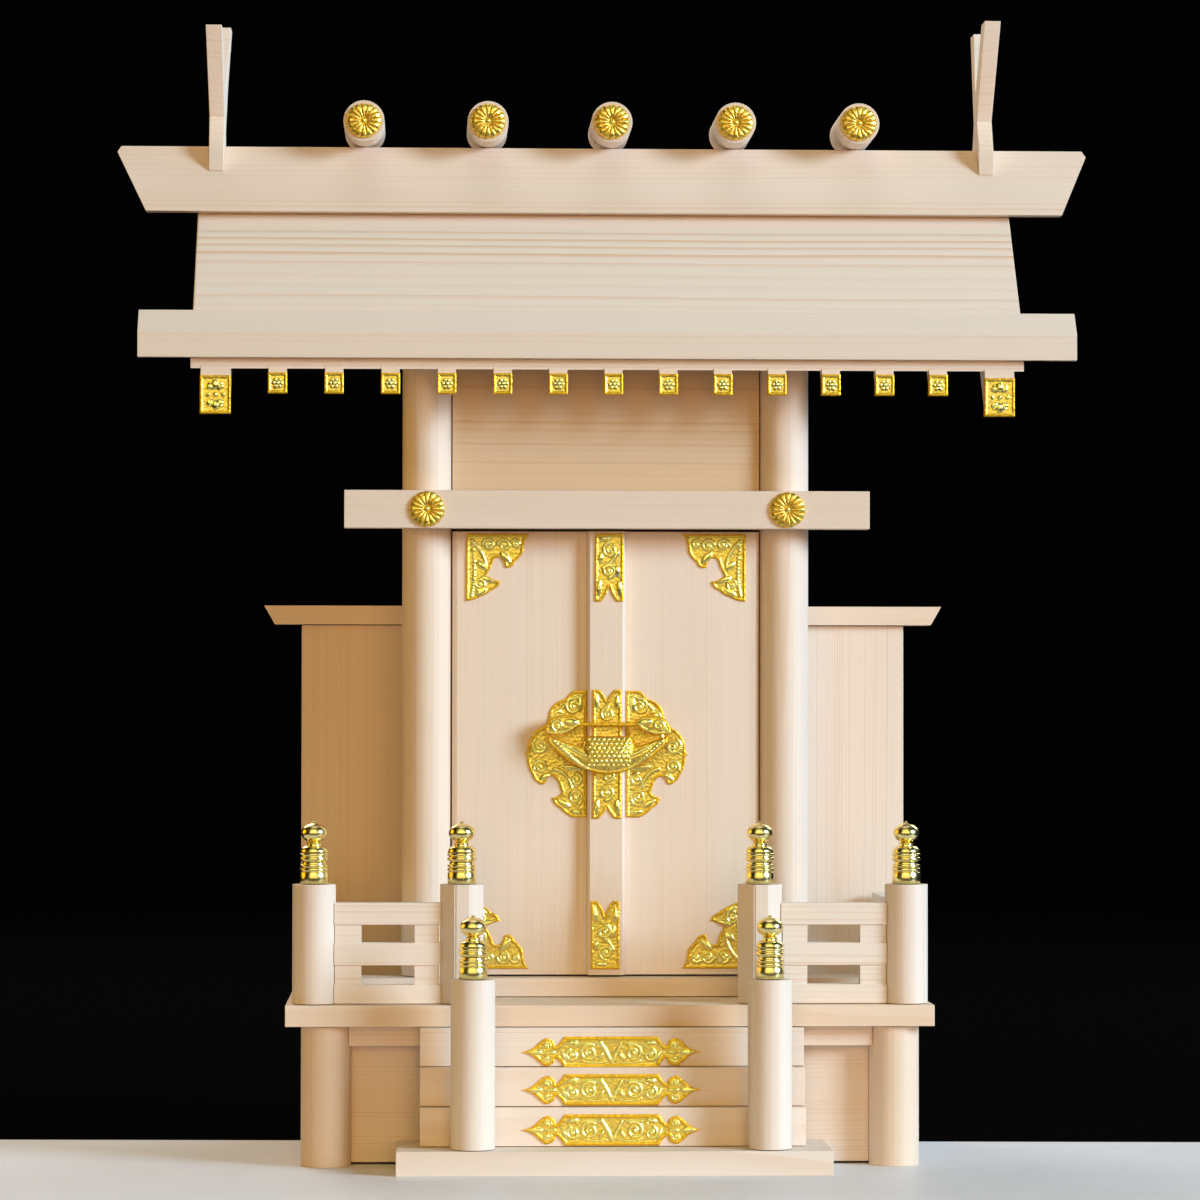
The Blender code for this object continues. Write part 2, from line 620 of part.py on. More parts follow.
def build_slopes(wood):
    """Planks and ridge boards of both slopes, the eave board and the board that closes the rear."""
    crest = EAVE_FRONT + EAVE_DEPTH
    seat = roof_height(crest, -ROOF_THICK)
    eave = [(EAVE_FRONT, EAVE_LOW), (EAVE_FRONT, EAVE_ARRIS), (crest, roof_height(crest)),
            (crest, seat), (crest - (seat - EAVE_LOW) / math.tan(SLOPE), EAVE_LOW)]
    store("eave_board_front", prism(eave, "x", -EAVE_HALF, EAVE_HALF), wood)
    inner = REAR_EAVE + GAP
    fascia = [(inner, FASCIA_LOW), (inner, roof_height(inner)),
              (FLOOR_DEPTH, roof_height(FLOOR_DEPTH)), (FLOOR_DEPTH, FASCIA_LOW)]
    store("eave_board_back", prism(fascia, "x", -ROOF_HALF, ROOF_HALF), wood)

    peak = RIDGE_Y - GAP / 2.0
    ridge_face = roof_height(RIDGE_Y, GAP + RIDGE_BOARD_THICK)
    seat_face = roof_height(RIDGE_Y, GAP)
    top_edge = RIDGE_Y - (ridge_face - RIDGE_TOP) / math.tan(SLOPE)
    for name, turn, toe, low in (("front", list, crest + GAP, RIDGE_BOARD_LOW),
                                 ("back", back_of, 2.0 * RIDGE_Y - REAR_EAVE, REAR_RIDGE_BOARD_LOW)):
        low_edge = RIDGE_Y - (ridge_face - low) / math.tan(SLOPE)
        inner_edge = RIDGE_Y - (seat_face - low + RIDGE_BOARD_UNDERCUT) / math.tan(SLOPE)
        ridge = [(low_edge, low), (inner_edge, low - RIDGE_BOARD_UNDERCUT),
                 (peak, roof_height(peak, GAP)), (peak, RIDGE_TOP), (top_edge, RIDGE_TOP)]
        plank = [(toe, roof_height(toe)), (toe, roof_height(toe, -ROOF_THICK)),
                 (peak, roof_height(peak, -ROOF_THICK)), (peak, roof_height(peak))]
        store("roof_" + name, prism(turn(plank), "x", -ROOF_HALF, ROOF_HALF), wood)
        store("ridge_board_" + name, ridge_board(turn(ridge)), wood)


def chigi_arm(top):
    """The front half of a chigi's outline, from the notch over its tip and foot to the ridge's flat top."""
    seat = GAP + RIDGE_BOARD_THICK + GAP
    flat_top = RIDGE_TOP + GAP
    seat_edge = RIDGE_Y - (roof_height(RIDGE_Y, seat) - flat_top) / math.tan(SLOPE)
    half = CHIGI_THICK / 2.0 / math.cos(CHIGI_LEAN)
    lean = math.tan(CHIGI_LEAN)
    foot = RIDGE_Y - CHIGI_FOOT
    foot_high = CHIGI_CROSS - (RIDGE_Y - half - foot) / lean
    tip = RIDGE_Y - (top - CHIGI_CROSS) * lean
    return [(RIDGE_Y, CHIGI_CROSS + half / lean), (tip + half, top), (tip - half, top),
            (RIDGE_Y - half, CHIGI_CROSS), (foot, foot_high), (foot, roof_height(foot, seat)),
            (seat_edge, flat_top)]


def chigi(middle, tops, leans):
    """Two boards crossed above the ridge, wider at the top, their feet cut to sit on both ridge boards."""
    front_top, rear_top = tops
    outline = chigi_arm(front_top) + list(reversed(back_of(chigi_arm(rear_top)[1:])))
    narrow, wide = CHIGI_WIDTHS
    data = prism(outline, "x", middle - wide / 2.0, middle + wide / 2.0)
    bmesh.ops.triangulate(data, faces=data.faces)
    for vert in data.verts:
        width = numpy.interp(vert.co.z, (RIDGE_TOP, max(tops)), (narrow, wide))
        vert.co.x = middle + (vert.co.x - middle) * width / wide
        if vert.co.z > min(tops) - PAST:
            vert.co.x += leans[int(vert.co.y > RIDGE_Y)]
    return data


def build_ridge(wood):
    for name, middle in CHIGI_X.items():
        store("chigi_" + name, chigi(middle, CHIGI_TOPS[name], CHIGI_LEANS[name]), wood)
    height = RIDGE_TOP + GAP + BILLET_RADIUS
    for index in range(BILLET_COUNT):
        middle = (index - (BILLET_COUNT - 1) / 2.0) * BILLET_PITCH + BILLET_SHIFT
        billet = prism(circle(BILLET_RADIUS, (middle, height), ROUND_SIDES), "y",
                       RIDGE_Y - BILLET_HALF, RIDGE_Y + BILLET_HALF)
        store("katsuogi_%d" % (index + 1), billet, wood, smooth=True)


def main():
    clear_scene()
    wood = make_material("cypress", (0.80, 0.62, 0.44), 0.55, 0.0)
    gilt = make_material("gilt_brass", (0.86, 0.62, 0.16), 0.22, 1.0)
    build_base(wood)
    build_underfloor(wood)
    build_veranda(wood)
    build_finials(gilt)
    build_balustrades(wood)
    build_sanctuary(wood)
    build_doors(wood, gilt)
    build_wings(wood)
    build_under_boards(wood)
    build_slopes(wood)
    build_ridge(wood)


main()
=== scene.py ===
"""Looks of a household Shinto shrine: planed hinoki joinery with turned and pressed gilt fittings.

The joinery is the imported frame's own solids, with their edges eased and a grain of their own.  The
fittings are made here, in millimetres, and set on the faces that the frame gives.  X runs left to
right, Y from the steps to the back wall, Z up.
"""

import math

import bmesh
import bpy
import numpy
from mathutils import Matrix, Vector
from mathutils.geometry import delaunay_2d_cdt


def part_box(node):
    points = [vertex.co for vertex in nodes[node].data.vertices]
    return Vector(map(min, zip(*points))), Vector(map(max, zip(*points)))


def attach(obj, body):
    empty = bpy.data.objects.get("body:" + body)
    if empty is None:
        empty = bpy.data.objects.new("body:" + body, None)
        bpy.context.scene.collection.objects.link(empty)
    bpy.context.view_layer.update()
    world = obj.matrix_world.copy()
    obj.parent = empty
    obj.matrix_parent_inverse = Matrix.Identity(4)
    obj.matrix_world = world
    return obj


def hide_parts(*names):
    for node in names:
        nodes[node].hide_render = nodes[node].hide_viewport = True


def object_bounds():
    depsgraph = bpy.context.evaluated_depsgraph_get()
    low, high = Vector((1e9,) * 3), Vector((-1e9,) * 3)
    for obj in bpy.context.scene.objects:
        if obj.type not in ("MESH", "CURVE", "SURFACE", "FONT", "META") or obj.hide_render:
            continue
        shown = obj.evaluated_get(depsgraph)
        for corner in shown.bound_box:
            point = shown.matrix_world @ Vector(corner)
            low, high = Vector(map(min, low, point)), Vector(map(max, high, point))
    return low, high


MM = 0.001

# Planed joinery
EASE = 0.18                    # width of the planed-off edges
EASE_ANGLE = math.radians(32.0)
FLAT_ANGLE = math.radians(0.5)
FACET_GAP = 0.01               # a solid's loose facets are welded over gaps up to this

# Hinoki, with lengths in metres
CREAM = (0.83, 0.76, 0.70)
ROSE = (0.80, 0.64, 0.52)
LATEWOOD = (0.66, 0.40, 0.20)
# honey, mixed into some boards as painted shade
SHADE_HONEY = (0.74, 0.49, 0.24)
SWAY = 0.006                   # how far a yearly ring strays over a whole board
SWAY_WAVES = (16.0, 2.2)       # in a metre, across the grain and along it
RIPPLE = 0.0007                # the same for a short stretch of it
RIPPLE_WAVES = (130.0, 8.0)
FIBRE_WAVES = (1700.0, 40.0)
LATE_RISE = (0.25, 0.96)       # the part of a year over which the late wood darkens
LATE_END = (0.965, 1.0)        # and over which it stops
END_GRAIN = (0.85, 0.97)       # how squarely a face meets the grain before it counts as sawn off
HEART_FAR = 0.16               # from a board to its tree's heart, and how much that varies
HEART_FAR_STEP = 0.021
HEART_NEAR_STEP = 0.007
SEED_STEP = 0.37               # sets one board's figure apart from the next one's

# Gilt and the stage, each mottled between two shades; the first two pairs are a pressed plate's painted
# shade and painted highlight
PAINTED_SHADE_GILT = ((0.86, 0.45, 0.02), (0.96, 0.62, 0.05))
PAINTED_HIGHLIGHT_GILT = ((1.0, 0.88, 0.20), (1.0, 0.95, 0.48))
PLATED_GILT = ((0.94, 0.79, 0.32), (1.0, 0.88, 0.46))
TABLE_WHITE = ((0.74, 0.75, 0.80), (0.80, 0.81, 0.86))
CLOTH_BLACK = ((0.0015, 0.0015, 0.0016), (0.003, 0.003, 0.003))

# Pressed plates
GROUND = 0.35                  # metal left between the wood and the ground of a relief
RIM = 0.55                     # half-width of the bead round a plate's edge
RIM_HEIGHT = 0.45
RIM_SPREAD = 1.08              # the bead's foot, in half-widths
STEP_RIM = 0.75                # half-width on the steps, whose plates have a wider frame
PITCH = 0.34                   # spacing of a relief's mesh
CAP_PITCH = 0.40               # the same for the rafters' caps
ROW_SPACING = 0.866            # between rows of that mesh, in pitches
BORDER_CLEARANCE = 0.45        # between its points and the outline, in pitches
STROKE = 0.70                  # height at which a stroke of the relief takes the full painted highlight
GROUND_PAINTED_LIGHT = 0.45            # painted light on the ground between the strokes, from 0 (painted shade) to 1 (painted highlight)
SHARP_ANGLE = math.radians(50.0)
STALK_BEADS = 16
TENDRIL_BEADS = 22             # for each turn
TENDRIL_CLOSE = 0.72           # how far it winds in, as a share of its radius
TENDRIL_HEIGHT = 0.75
LEAF_BEADS = 10

# Places of the plates
DOOR_PLATE_EDGE = 6.0          # from a door's outer, upper and lower edges to its corner plates
DOOR_PLATE_TOP = 1.1
DOOR_PLATE_FOOT = 2.6
STRIP_PLATE_X = {"top": 1.2, "middle": 0.3, "foot": -0.4}
LOCK_PLATE_X = {"left": 0.0, "right": 0.6}
LOCK_PLATE_RISE = 8.5          # middle of the round plate over the lock's lowest point
STEP_PLATE_SHIFT = -0.5
STEP_PLATE_DROP = {"step_lower": 1.2, "step_middle": 1.2, "step_upper": 2.1}   # below a step's middle

# Caps on the roof's sticks: width and height, and how far they reach back over the wood
RAFTER_CAP = (8.1, 8.9)
END_BEAM_CAP = (13.0, 16.3)
SLEEVE = 2.4

# Chrysanthemum caps
CAP_RADIUS = 7.7
CAP_PETALS = 16
CAP_RISE = 2.3
CAP_EDGE = 0.35                # thickness of the metal at the rim
CAP_EYE = 0.16                 # where along the radius the petals start
CAP_CROWN = 0.62               # where along its length a petal is highest
CAP_SWELL = 0.62               # how far a petal's back stands up
CAP_SCALLOP = 0.055            # depth of the notches between the petals' tips, in radii
CAP_BOSS = 1.15
CAP_BOSS_FALL = 0.75
CAP_RINGS = 26
CAP_STEPS = 8                  # facets for each petal

# Turned finials, with heights over the post: a domed shoulder and a bulb, each about its own middle
FINIAL_SIDES = 56
RING_STEPS = 8
DOME_MIDDLE = (3.1, 12.8)
DOME_REACH = (2.75, 2.9)
DOME_STEPS = 10
BULB_MIDDLE = 21.0
BULB_REACH = (5.5, 4.05)
BULB_STEPS = 25
BULB_TIP = 1.0                 # radius at which the bulb gives way to its point

# The lock, about its own middle: a boat whose edges are parabolas
LOCK_HALF = 25.8
LOCK_KEEL = -9.2               # lowest point of the lower edge, and how far its ends rise over that
LOCK_KEEL_RISE = 13.4
LOCK_SADDLE = 1.4              # the same for the upper edge
LOCK_SADDLE_RISE = 6.0
LOCK_STEPS = 20
LOCK_DEPTH = 2.8               # from the face that its relief stands on to its back
LOCK_SHIFT = 0.6
STUD_ROWS = 7
STUD_COLUMNS = 9
STUD_PITCH = (2.1, 2.0)
STUD_START = (-8.4, -5.9)
STUD = (0.98, 0.85)            # radius and height

# Camera: where the eye is, and how far it looks up, leans and looks to the right, in degrees
EYE = (-0.0760, -1.9373, 0.1900)
LENS = 135.57
SENSOR = 36.0
LOOK_UP = 1.37
LEAN = -0.07
LOOK_RIGHT = 2.17

# The pale table top, in metres; its rear edge, at the left and the right, is where the cloth starts
TABLE_FRONT = -0.26
TABLE_HALF = 0.45
TABLE_REAR = (0.072, 0.029)
TONGUE_HALF = 0.130            # under the shrine itself the table top reaches right to its back
TONGUE_MARGIN = 0.006
TONGUE_SLANT = 0.006           # how far the rear edge slants between its middle and the tongue
CLOTH_HALF = 1.8
CLOTH_ENDS = (-1.6, 2.6)
CLOTH_DROP = 0.0003

# The lamps' target, in metres, and the grey of the dark room round them
AIM = (0.0, 0.0, 0.24)
ROOM = 0.0006

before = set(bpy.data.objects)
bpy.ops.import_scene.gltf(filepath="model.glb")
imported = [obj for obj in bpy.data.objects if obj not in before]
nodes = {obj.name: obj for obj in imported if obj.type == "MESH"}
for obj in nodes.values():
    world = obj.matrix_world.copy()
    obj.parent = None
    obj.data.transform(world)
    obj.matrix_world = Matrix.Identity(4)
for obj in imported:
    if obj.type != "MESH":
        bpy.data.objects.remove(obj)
cad_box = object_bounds()


# ---- materials ----

class Wire:
    """One socket's output in a material.  Arithmetic on it adds Math nodes."""

    def __init__(self, finish, socket):
        self.finish = finish
        self.socket = socket

    def math(self, operation, *values):
        """A Math node on wires and numbers."""
        return self.finish.add("ShaderNodeMath", {"operation": operation}, dict(enumerate(values)))

    def __add__(self, other):
        return self.math("ADD", self, other)

    def __sub__(self, other):
        return self.math("SUBTRACT", self, other)

    def __rsub__(self, other):
        return self.math("SUBTRACT", other, self)

    def __mul__(self, other):
        return self.math("MULTIPLY", self, other)

    def __truediv__(self, other):
        return self.math("DIVIDE", self, other)

    def __pow__(self, other):
        return self.math("POWER", self, other)

    __radd__ = __add__
    __rmul__ = __mul__

    def whole(self):
        """The value rounded down."""
        return self.math("FLOOR", self)

    def between(self, low, high):
        """0 below low, 1 above high, and a smooth rise between them."""
        return self.finish.add("ShaderNodeMapRange", {"interpolation_type": "SMOOTHSTEP"},
                               {"Value": self, "From Min": low, "From Max": high})


class Finish:
    """A material, built node by node."""

    def __init__(self, name):
        self.material = bpy.data.materials.new(name)
        self.material.use_nodes = True
        self.tree = self.material.node_tree
        self.tree.nodes.clear()

    def add(self, kind, settings=None, sockets=None, output=0):
        """A node of any kind, its settings made first; gives back a wire from one output."""
        node = self.tree.nodes.new(kind)
        for key, value in (settings or {}).items():
            setattr(node, key, value)
        for key, value in (sockets or {}).items():
            if isinstance(value, Wire):
                self.tree.links.new(value.socket, node.inputs[key])
            else:
                node.inputs[key].default_value = value
        return Wire(self, node.outputs[output])

    def place(self):
        """The point on the piece, as wires for its x, y and z."""
        point = self.add("ShaderNodeTexCoord", output="Object")
        return self.split(point)

    def split(self, vector):
        """A vector's x, y and z."""
        first = self.add("ShaderNodeSeparateXYZ", None, {0: vector})
        outputs = first.socket.node.outputs
        return {axis: Wire(self, outputs[axis.upper()]) for axis in "xyz"}

    def joined(self, *values):
        """A vector of three numbers or wires."""
        return self.add("ShaderNodeCombineXYZ", None, dict(enumerate(values)))

    def noise(self, point, detail=2.0):
        """Cloudy noise, about 0.5 on average."""
        return self.add("ShaderNodeTexNoise", {"noise_dimensions": "3D"},
                        {"Vector": point, "Scale": 1.0, "Detail": detail})

    def mixed(self, factor, first, second):
        """The first colour at 0, the second at 1."""
        colours = {key: value if isinstance(value, Wire) else (*value, 1.0)
                   for key, value in ((6, first), (7, second))}
        return self.add("ShaderNodeMix", {"data_type": "RGBA"}, {0: factor, **colours}, 2)

    def scaled(self, colour, factor):
        """A colour or a vector times a number."""
        return self.add("ShaderNodeVectorMath", {"operation": "SCALE"}, {0: colour, "Scale": factor})

    def bump(self, height, strength, distance):
        """The normal of a surface with this relief, its full height in metres."""
        return self.add("ShaderNodeBump", None,
                        {"Height": height, "Strength": strength, "Distance": distance})

    def shade(self, colour, roughness, normal, metallic=0.0, gloss=0.5):
        """Feed the shader, and give back the finished material."""
        shader = self.add("ShaderNodeBsdfPrincipled", None,
                          {"Base Color": colour, "Roughness": roughness, "Metallic": metallic,
                           "Normal": normal, "Specular IOR Level": gloss})
        output = self.tree.nodes.new("ShaderNodeOutputMaterial")
        self.tree.links.new(shader.socket, output.inputs["Surface"])
        return self.material


def hinoki(name, grain, cut, heart, ring, figure, warmth, tone, painted_shade, seed):
    """Cypress: yearly rings round the tree's heart, with fine fibres along the grain.

    grain is the axis that the fibres run along, cut the one that the sawn ends face, heart the
    tree's middle beside the grain, ring a year's growth, figure how strongly the late wood shows,
    warmth how pink the early wood is, tone how light the board is, and the argument after tone how
    far the board is mixed towards honey as painted shade.
    """
    finish = Finish(name)
    place = finish.place()
    along = place.pop(grain)
    first, second = place.values()
    shifted = along + seed

    def streaks(waves, detail=2.0):
        """Noise that is fine across the grain and slow along it."""
        across, lengthwise = waves
        point = finish.joined(first * across, second * across, shifted * lengthwise)
        return finish.noise(point, detail)

    reach = ((first - heart[0]) ** 2.0 + (second - heart[1]) ** 2.0) ** 0.5
    sway = streaks(SWAY_WAVES)
    ripple = streaks(RIPPLE_WAVES)
    radius = reach + (sway - 0.5) * SWAY + (ripple - 0.5) * RIPPLE
    crowding = finish.noise(finish.joined(radius * 70.0, seed, 0.0), 1.0)
    rings = radius / ring + crowding * 2.2 + seed * 7.0
    year = rings.whole()
    phase = rings - year
    strength = finish.add("ShaderNodeTexWhiteNoise", {"noise_dimensions": "1D"}, {"W": year})
    late = phase.between(*LATE_RISE) ** 2.0 * (1.0 - phase.between(*LATE_END))
    vivid = late * (strength ** 2.5 * 0.85 + 0.15)
    broad = finish.noise(finish.joined(radius * 45.0, seed, shifted * 1.5))
    fibre = streaks(FIBRE_WAVES, 3.0)
    early = finish.mixed((broad - 0.1) * 1.5 * warmth, CREAM, ROSE)
    colour = finish.mixed(vivid * figure, early, LATEWOOD)
    # painted shade: a share of honey mixed into the board's colour
    if painted_shade:
        colour = finish.mixed(painted_shade, colour, SHADE_HONEY)
    normal = finish.split(finish.add("ShaderNodeTexCoord", output="Normal"))
    end = (normal[cut] * normal[cut]).between(*END_GRAIN)
    colour = finish.scaled(colour, (1.03 - fibre * 0.08 - end * 0.16) * tone)
    roughness = 0.50 + fibre * 0.14 - vivid * 0.08
    relief = finish.bump(fibre + vivid * 0.7, 0.30, 0.00006)
    return finish.shade(colour, roughness, relief)


def pressed_gilt():
    """Gilded brass sheet, stippled on the ground, with painted shade on its edges and ground and painted
    highlights on its relief.
    """
    finish = Finish("pressed_gilt")
    painted_light = finish.add("ShaderNodeAttribute", {"attribute_name": "painted_light"}, output="Fac")
    point = finish.add("ShaderNodeTexCoord", output="Object")
    stipple = finish.add("ShaderNodeTexVoronoi", None, {"Vector": point, "Scale": 760.0}, "Distance")
    tone = finish.noise(finish.scaled(point, 620.0))
    # painted shade for a plate's edges and ground, painted highlight for its relief
    shaded_gilt = finish.mixed(tone, *PAINTED_SHADE_GILT)
    highlit_gilt = finish.mixed(tone, *PAINTED_HIGHLIGHT_GILT)
    lit = painted_light.between(0.0, 1.0)
    colour = finish.mixed(lit, shaded_gilt, highlit_gilt)
    roughness = 0.46 - lit * 0.18
    relief = finish.bump(stipple * (1.0 - lit * 0.6), 0.75, 0.00035)
    return finish.shade(colour, roughness, relief, 1.0)


def polished_gilt():
    """Turned and plated brass, close to a mirror."""
    finish = Finish("polished_gilt")
    point = finish.add("ShaderNodeTexCoord", output="Object")
    mottle = finish.noise(finish.scaled(point, 420.0))
    colour = finish.mixed(mottle, *PLATED_GILT)
    roughness = 0.19 + mottle * 0.10
    relief = finish.bump(mottle, 0.08, 0.00005)
    return finish.shade(colour, roughness, relief, 1.0)


# ---- joinery ----

def planed_faces():
    """Geometry nodes that weld a solid's loose facets and shade them as one surface."""
    tree = bpy.data.node_groups.new("planed_faces", "GeometryNodeTree")
    tree.interface.new_socket("Geometry", in_out="INPUT", socket_type="NodeSocketGeometry")
    tree.interface.new_socket("Geometry", in_out="OUTPUT", socket_type="NodeSocketGeometry")
    weld = tree.nodes.new("GeometryNodeMergeByDistance")
    weld.inputs["Distance"].default_value = FACET_GAP * MM
    forget = tree.nodes.new("GeometryNodeRemoveAttribute")
    forget.inputs["Name"].default_value = "custom_normal"
    chain = [tree.nodes.new("NodeGroupInput"), weld, forget,
             tree.nodes.new("GeometryNodeSetShadeSmooth"), tree.nodes.new("NodeGroupOutput")]
    for source, target in zip(chain, chain[1:]):
        tree.links.new(source.outputs[0], target.inputs[0])
    return tree


def ease_edges(item, tree):
    """Take the sharpness off a board's edges, and keep its flat faces looking flat."""
    weld = item.modifiers.new("planed", "NODES")
    weld.node_group = tree
    flat = item.modifiers.new("flat", "DECIMATE")
    flat.decimate_type = "DISSOLVE"
    flat.angle_limit = FLAT_ANGLE
    ease = item.modifiers.new("eased", "BEVEL")
    ease.width = EASE * MM
    ease.segments = 2
    ease.limit_method = "ANGLE"
    ease.angle_limit = EASE_ANGLE
    item.modifiers.new("faces", "WEIGHTED_NORMAL")


# Every board: the axis its grain runs along, a year's growth in mm, the late wood's strength, how
# pink the early wood is and how light the board is
BOARDS = {
    "roof_front": ("x", 4.6, 0.80, 0.2, 0.98),
    "roof_back": ("x", 4.6, 0.80, 0.2, 0.98),
    "roof_base": ("x", 1.8, 0.40, 0.6, 0.98),
    "ridge_board": ("x", 2.4, 0.32, 1.0, 1.00),
    "eave_board": ("x", 2.6, 0.20, 0.2, 0.94),
    "chigi": ("z", 1.2, 0.30, 0.5, 1.10),
    "katsuogi": ("y", 1.3, 0.30, 0.6, 1.06),
    # the panel over the doors is set pinker and darker than the other boards as painted shade under the
    # eave
    "front_panel": ("x", 3.0, 0.90, 1.9, 0.88),
    "tie_beam": ("x", 1.2, 0.20, 0.6, 0.94),
    "threshold": ("x", 1.4, 0.26, 0.9, 1.03),
    "pillar": ("z", 1.0, 0.44, 0.8, 1.02),
    "door": ("z", 1.0, 0.34, 0.6, 1.03),
    "meeting_strip": ("z", 1.1, 0.26, 0.5, 1.02),
    "wall": ("z", 1.5, 0.36, 0.7, 1.00),
    "wing_cap": ("x", 1.2, 0.26, 0.7, 1.00),
    "wing": ("z", 1.1, 0.66, 0.7, 0.98),
    "balustrade_side": ("y", 2.4, 0.42, 0.1, 1.02),
    "balustrade": ("x", 2.4, 0.42, 0.1, 1.02),
    "corner_post": ("z", 1.3, 0.42, 0.3, 0.99),
    "veranda_newel": ("z", 1.2, 0.40, 0.3, 0.99),
    "stair_newel": ("z", 1.2, 0.42, 0.3, 0.99),
    "veranda_floor": ("x", 2.0, 0.50, 0.8, 1.03),
    "leg_front": ("z", 1.3, 0.46, 0.9, 0.96),
    "underfloor_left": ("y", 1.6, 0.44, 0.8, 1.03),
    "underfloor_right": ("y", 1.6, 0.44, 0.8, 1.03),
    "underfloor": ("x", 1.6, 0.44, 0.9, 0.98),
    "step": ("x", 1.3, 0.44, 0.6, 1.02),
    "base_board": ("x", 1.8, 0.44, 0.3, 0.98),
}

# Boards mixed towards honey as painted shade, and how far; most of them stand in shade
PAINTED_SHADE_BOARDS = {"wing_left": 0.46, "wing_cap_left": 0.42, "wing_cap_right": 0.25, "front_panel": 0.40,
        "underfloor_front": 0.10, "underfloor_left": 0.40, "leg_front_left": 0.32,
        "leg_front_right": 0.20, "veranda_floor": 0.22}


def dress_joinery():
    """Give every board its own cut from its own tree, and ease its edges."""
    tree = planed_faces()
    for index, (name, item) in enumerate(sorted(nodes.items())):
        prefix = next((key for key in BOARDS if name.startswith(key)), None)
        if prefix is None:
            continue
        grain, ring, figure, warmth, tone = BOARDS[prefix]
        low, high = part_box(name)
        middle = (low + high) / 2.0
        others = [axis for axis in range(3) if axis != "xyz".index(grain)]
        sizes = [high[axis] - low[axis] for axis in others]
        far = HEART_FAR + HEART_FAR_STEP * (index % 7)
        near = HEART_NEAR_STEP * (index % 5)
        offsets = (far, near) if sizes[0] >= sizes[1] else (near, far)
        heart = [middle[axis] - offset for axis, offset in zip(others, offsets)]
        cut = "y" if prefix == "chigi" else grain
        finish = hinoki("hinoki_" + name, grain, cut, heart, ring * MM, figure, warmth, tone,
                        PAINTED_SHADE_BOARDS.get(name, 0.0), SEED_STEP * index)
        item.data.materials.clear()
        item.data.materials.append(finish)
        ease_edges(item, tree)


# ---- outlines and reliefs, in millimetres: x to the right, z up ----

def traced(corners, pitch):
    """Points round a closed outline, counter-clockwise.

    Each corner is (x, z, bulge) for the stretch that leaves it: 0 is straight, 1 a half circle
    that swells outwards, and a minus sign a hollow.
    """
    points = []
    for (x, z, bulge), (next_x, next_z, _) in zip(corners, [*corners[1:], corners[0]]):
        start = complex(x, z)
        end = complex(next_x, next_z)
        chord = end - start
        if bulge == 0:
            steps = max(1, round(abs(chord) / pitch))
            points += [start + chord * step / steps for step in range(steps)]
            continue
        centre = (start + end) / 2.0 + 1j * chord * (1.0 - bulge ** 2) / (4.0 * bulge)
        sweep = 4.0 * math.atan(bulge)
        steps = max(2, math.ceil(abs(start - centre) * abs(sweep) / pitch))
        turns = [sweep * step / steps for step in range(steps)]
        points += [centre + (start - centre) * complex(math.cos(turn), math.sin(turn)) for turn in turns]
    return numpy.array([(point.real, point.imag) for point in points])


def distances(points, line):
    """How far each point is from a closed line."""
    nearest = numpy.full(len(points), 1.0e9)
    for start, end in zip(line, numpy.roll(line, -1, axis=0)):
        run = end - start
        share = numpy.clip(((points - start) @ run) / max(run @ run, 1.0e-12), 0.0, 1.0)
        gap = points - start - share[:, None] * run
        nearest = numpy.minimum(nearest, numpy.hypot(gap[:, 0], gap[:, 1]))
    return nearest


def inside(points, line):
    """Which of the points lie inside a closed line."""
    within = numpy.zeros(len(points), bool)
    for start, end in zip(line, numpy.roll(line, -1, axis=0)):
        if start[1] == end[1]:
            continue
        crosses = (start[1] > points[:, 1]) != (end[1] > points[:, 1])
        edge = start[0] + (end[0] - start[0]) * (points[:, 1] - start[1]) / (end[1] - start[1])
        within ^= crosses & (points[:, 0] < edge)
    return within


def stem(start, bend, end, widths=(0.85, 0.65), height=0.70):
    """Beads along a curved stalk.  Each bead is (x, z, radius, height)."""
    beads = []
    for step in range(STALK_BEADS + 1):
        share = step / STALK_BEADS
        weights = ((1.0 - share) ** 2, 2.0 * share * (1.0 - share), share ** 2)
        x, z = (sum(weight * point[axis] for weight, point in zip(weights, (start, bend, end)))
                for axis in (0, 1))
        beads.append((x, z, widths[0] + (widths[1] - widths[0]) * share, height))
    return beads


def scroll(centre, radius, start, turns, widths=(0.80, 0.50)):
    """Beads along a tendril that winds in to an eye; turns is negative for a clockwise one."""
    x, z = centre
    steps = max(8, int(abs(turns) * TENDRIL_BEADS))
    beads = [(x, z, 0.90, 0.85)]
    for step in range(steps + 1):
        share = step / steps
        angle = math.radians(start) + 2.0 * math.pi * turns * share
        reach = radius * (1.0 - TENDRIL_CLOSE * share)
        width = widths[0] + (widths[1] - widths[0]) * share
        beads.append((x + reach * math.cos(angle), z + reach * math.sin(angle), width, TENDRIL_HEIGHT))
    return beads


def leaf(root, tip, width):
    """Beads that swell and close again between the two ends of a leaf."""
    beads = []
    for step in range(1, LEAF_BEADS):
        share = step / LEAF_BEADS
        swell = math.sin(math.pi * share ** 0.8)
        beads.append((root[0] + (tip[0] - root[0]) * share, root[1] + (tip[1] - root[1]) * share,
                      0.35 + 1.15 * width * swell, 0.30 + 0.70 * swell))
    return beads


def raised(points, beads):
    """Height of the beads over the ground at each point."""
    height = numpy.zeros(len(points))
    for x, z, radius, crown in beads:
        share = ((points[:, 0] - x) ** 2 + (points[:, 1] - z) ** 2) / radius ** 2
        height = numpy.maximum(height, crown * numpy.sqrt(numpy.clip(1.0 - share, 0.0, None)))
    return height


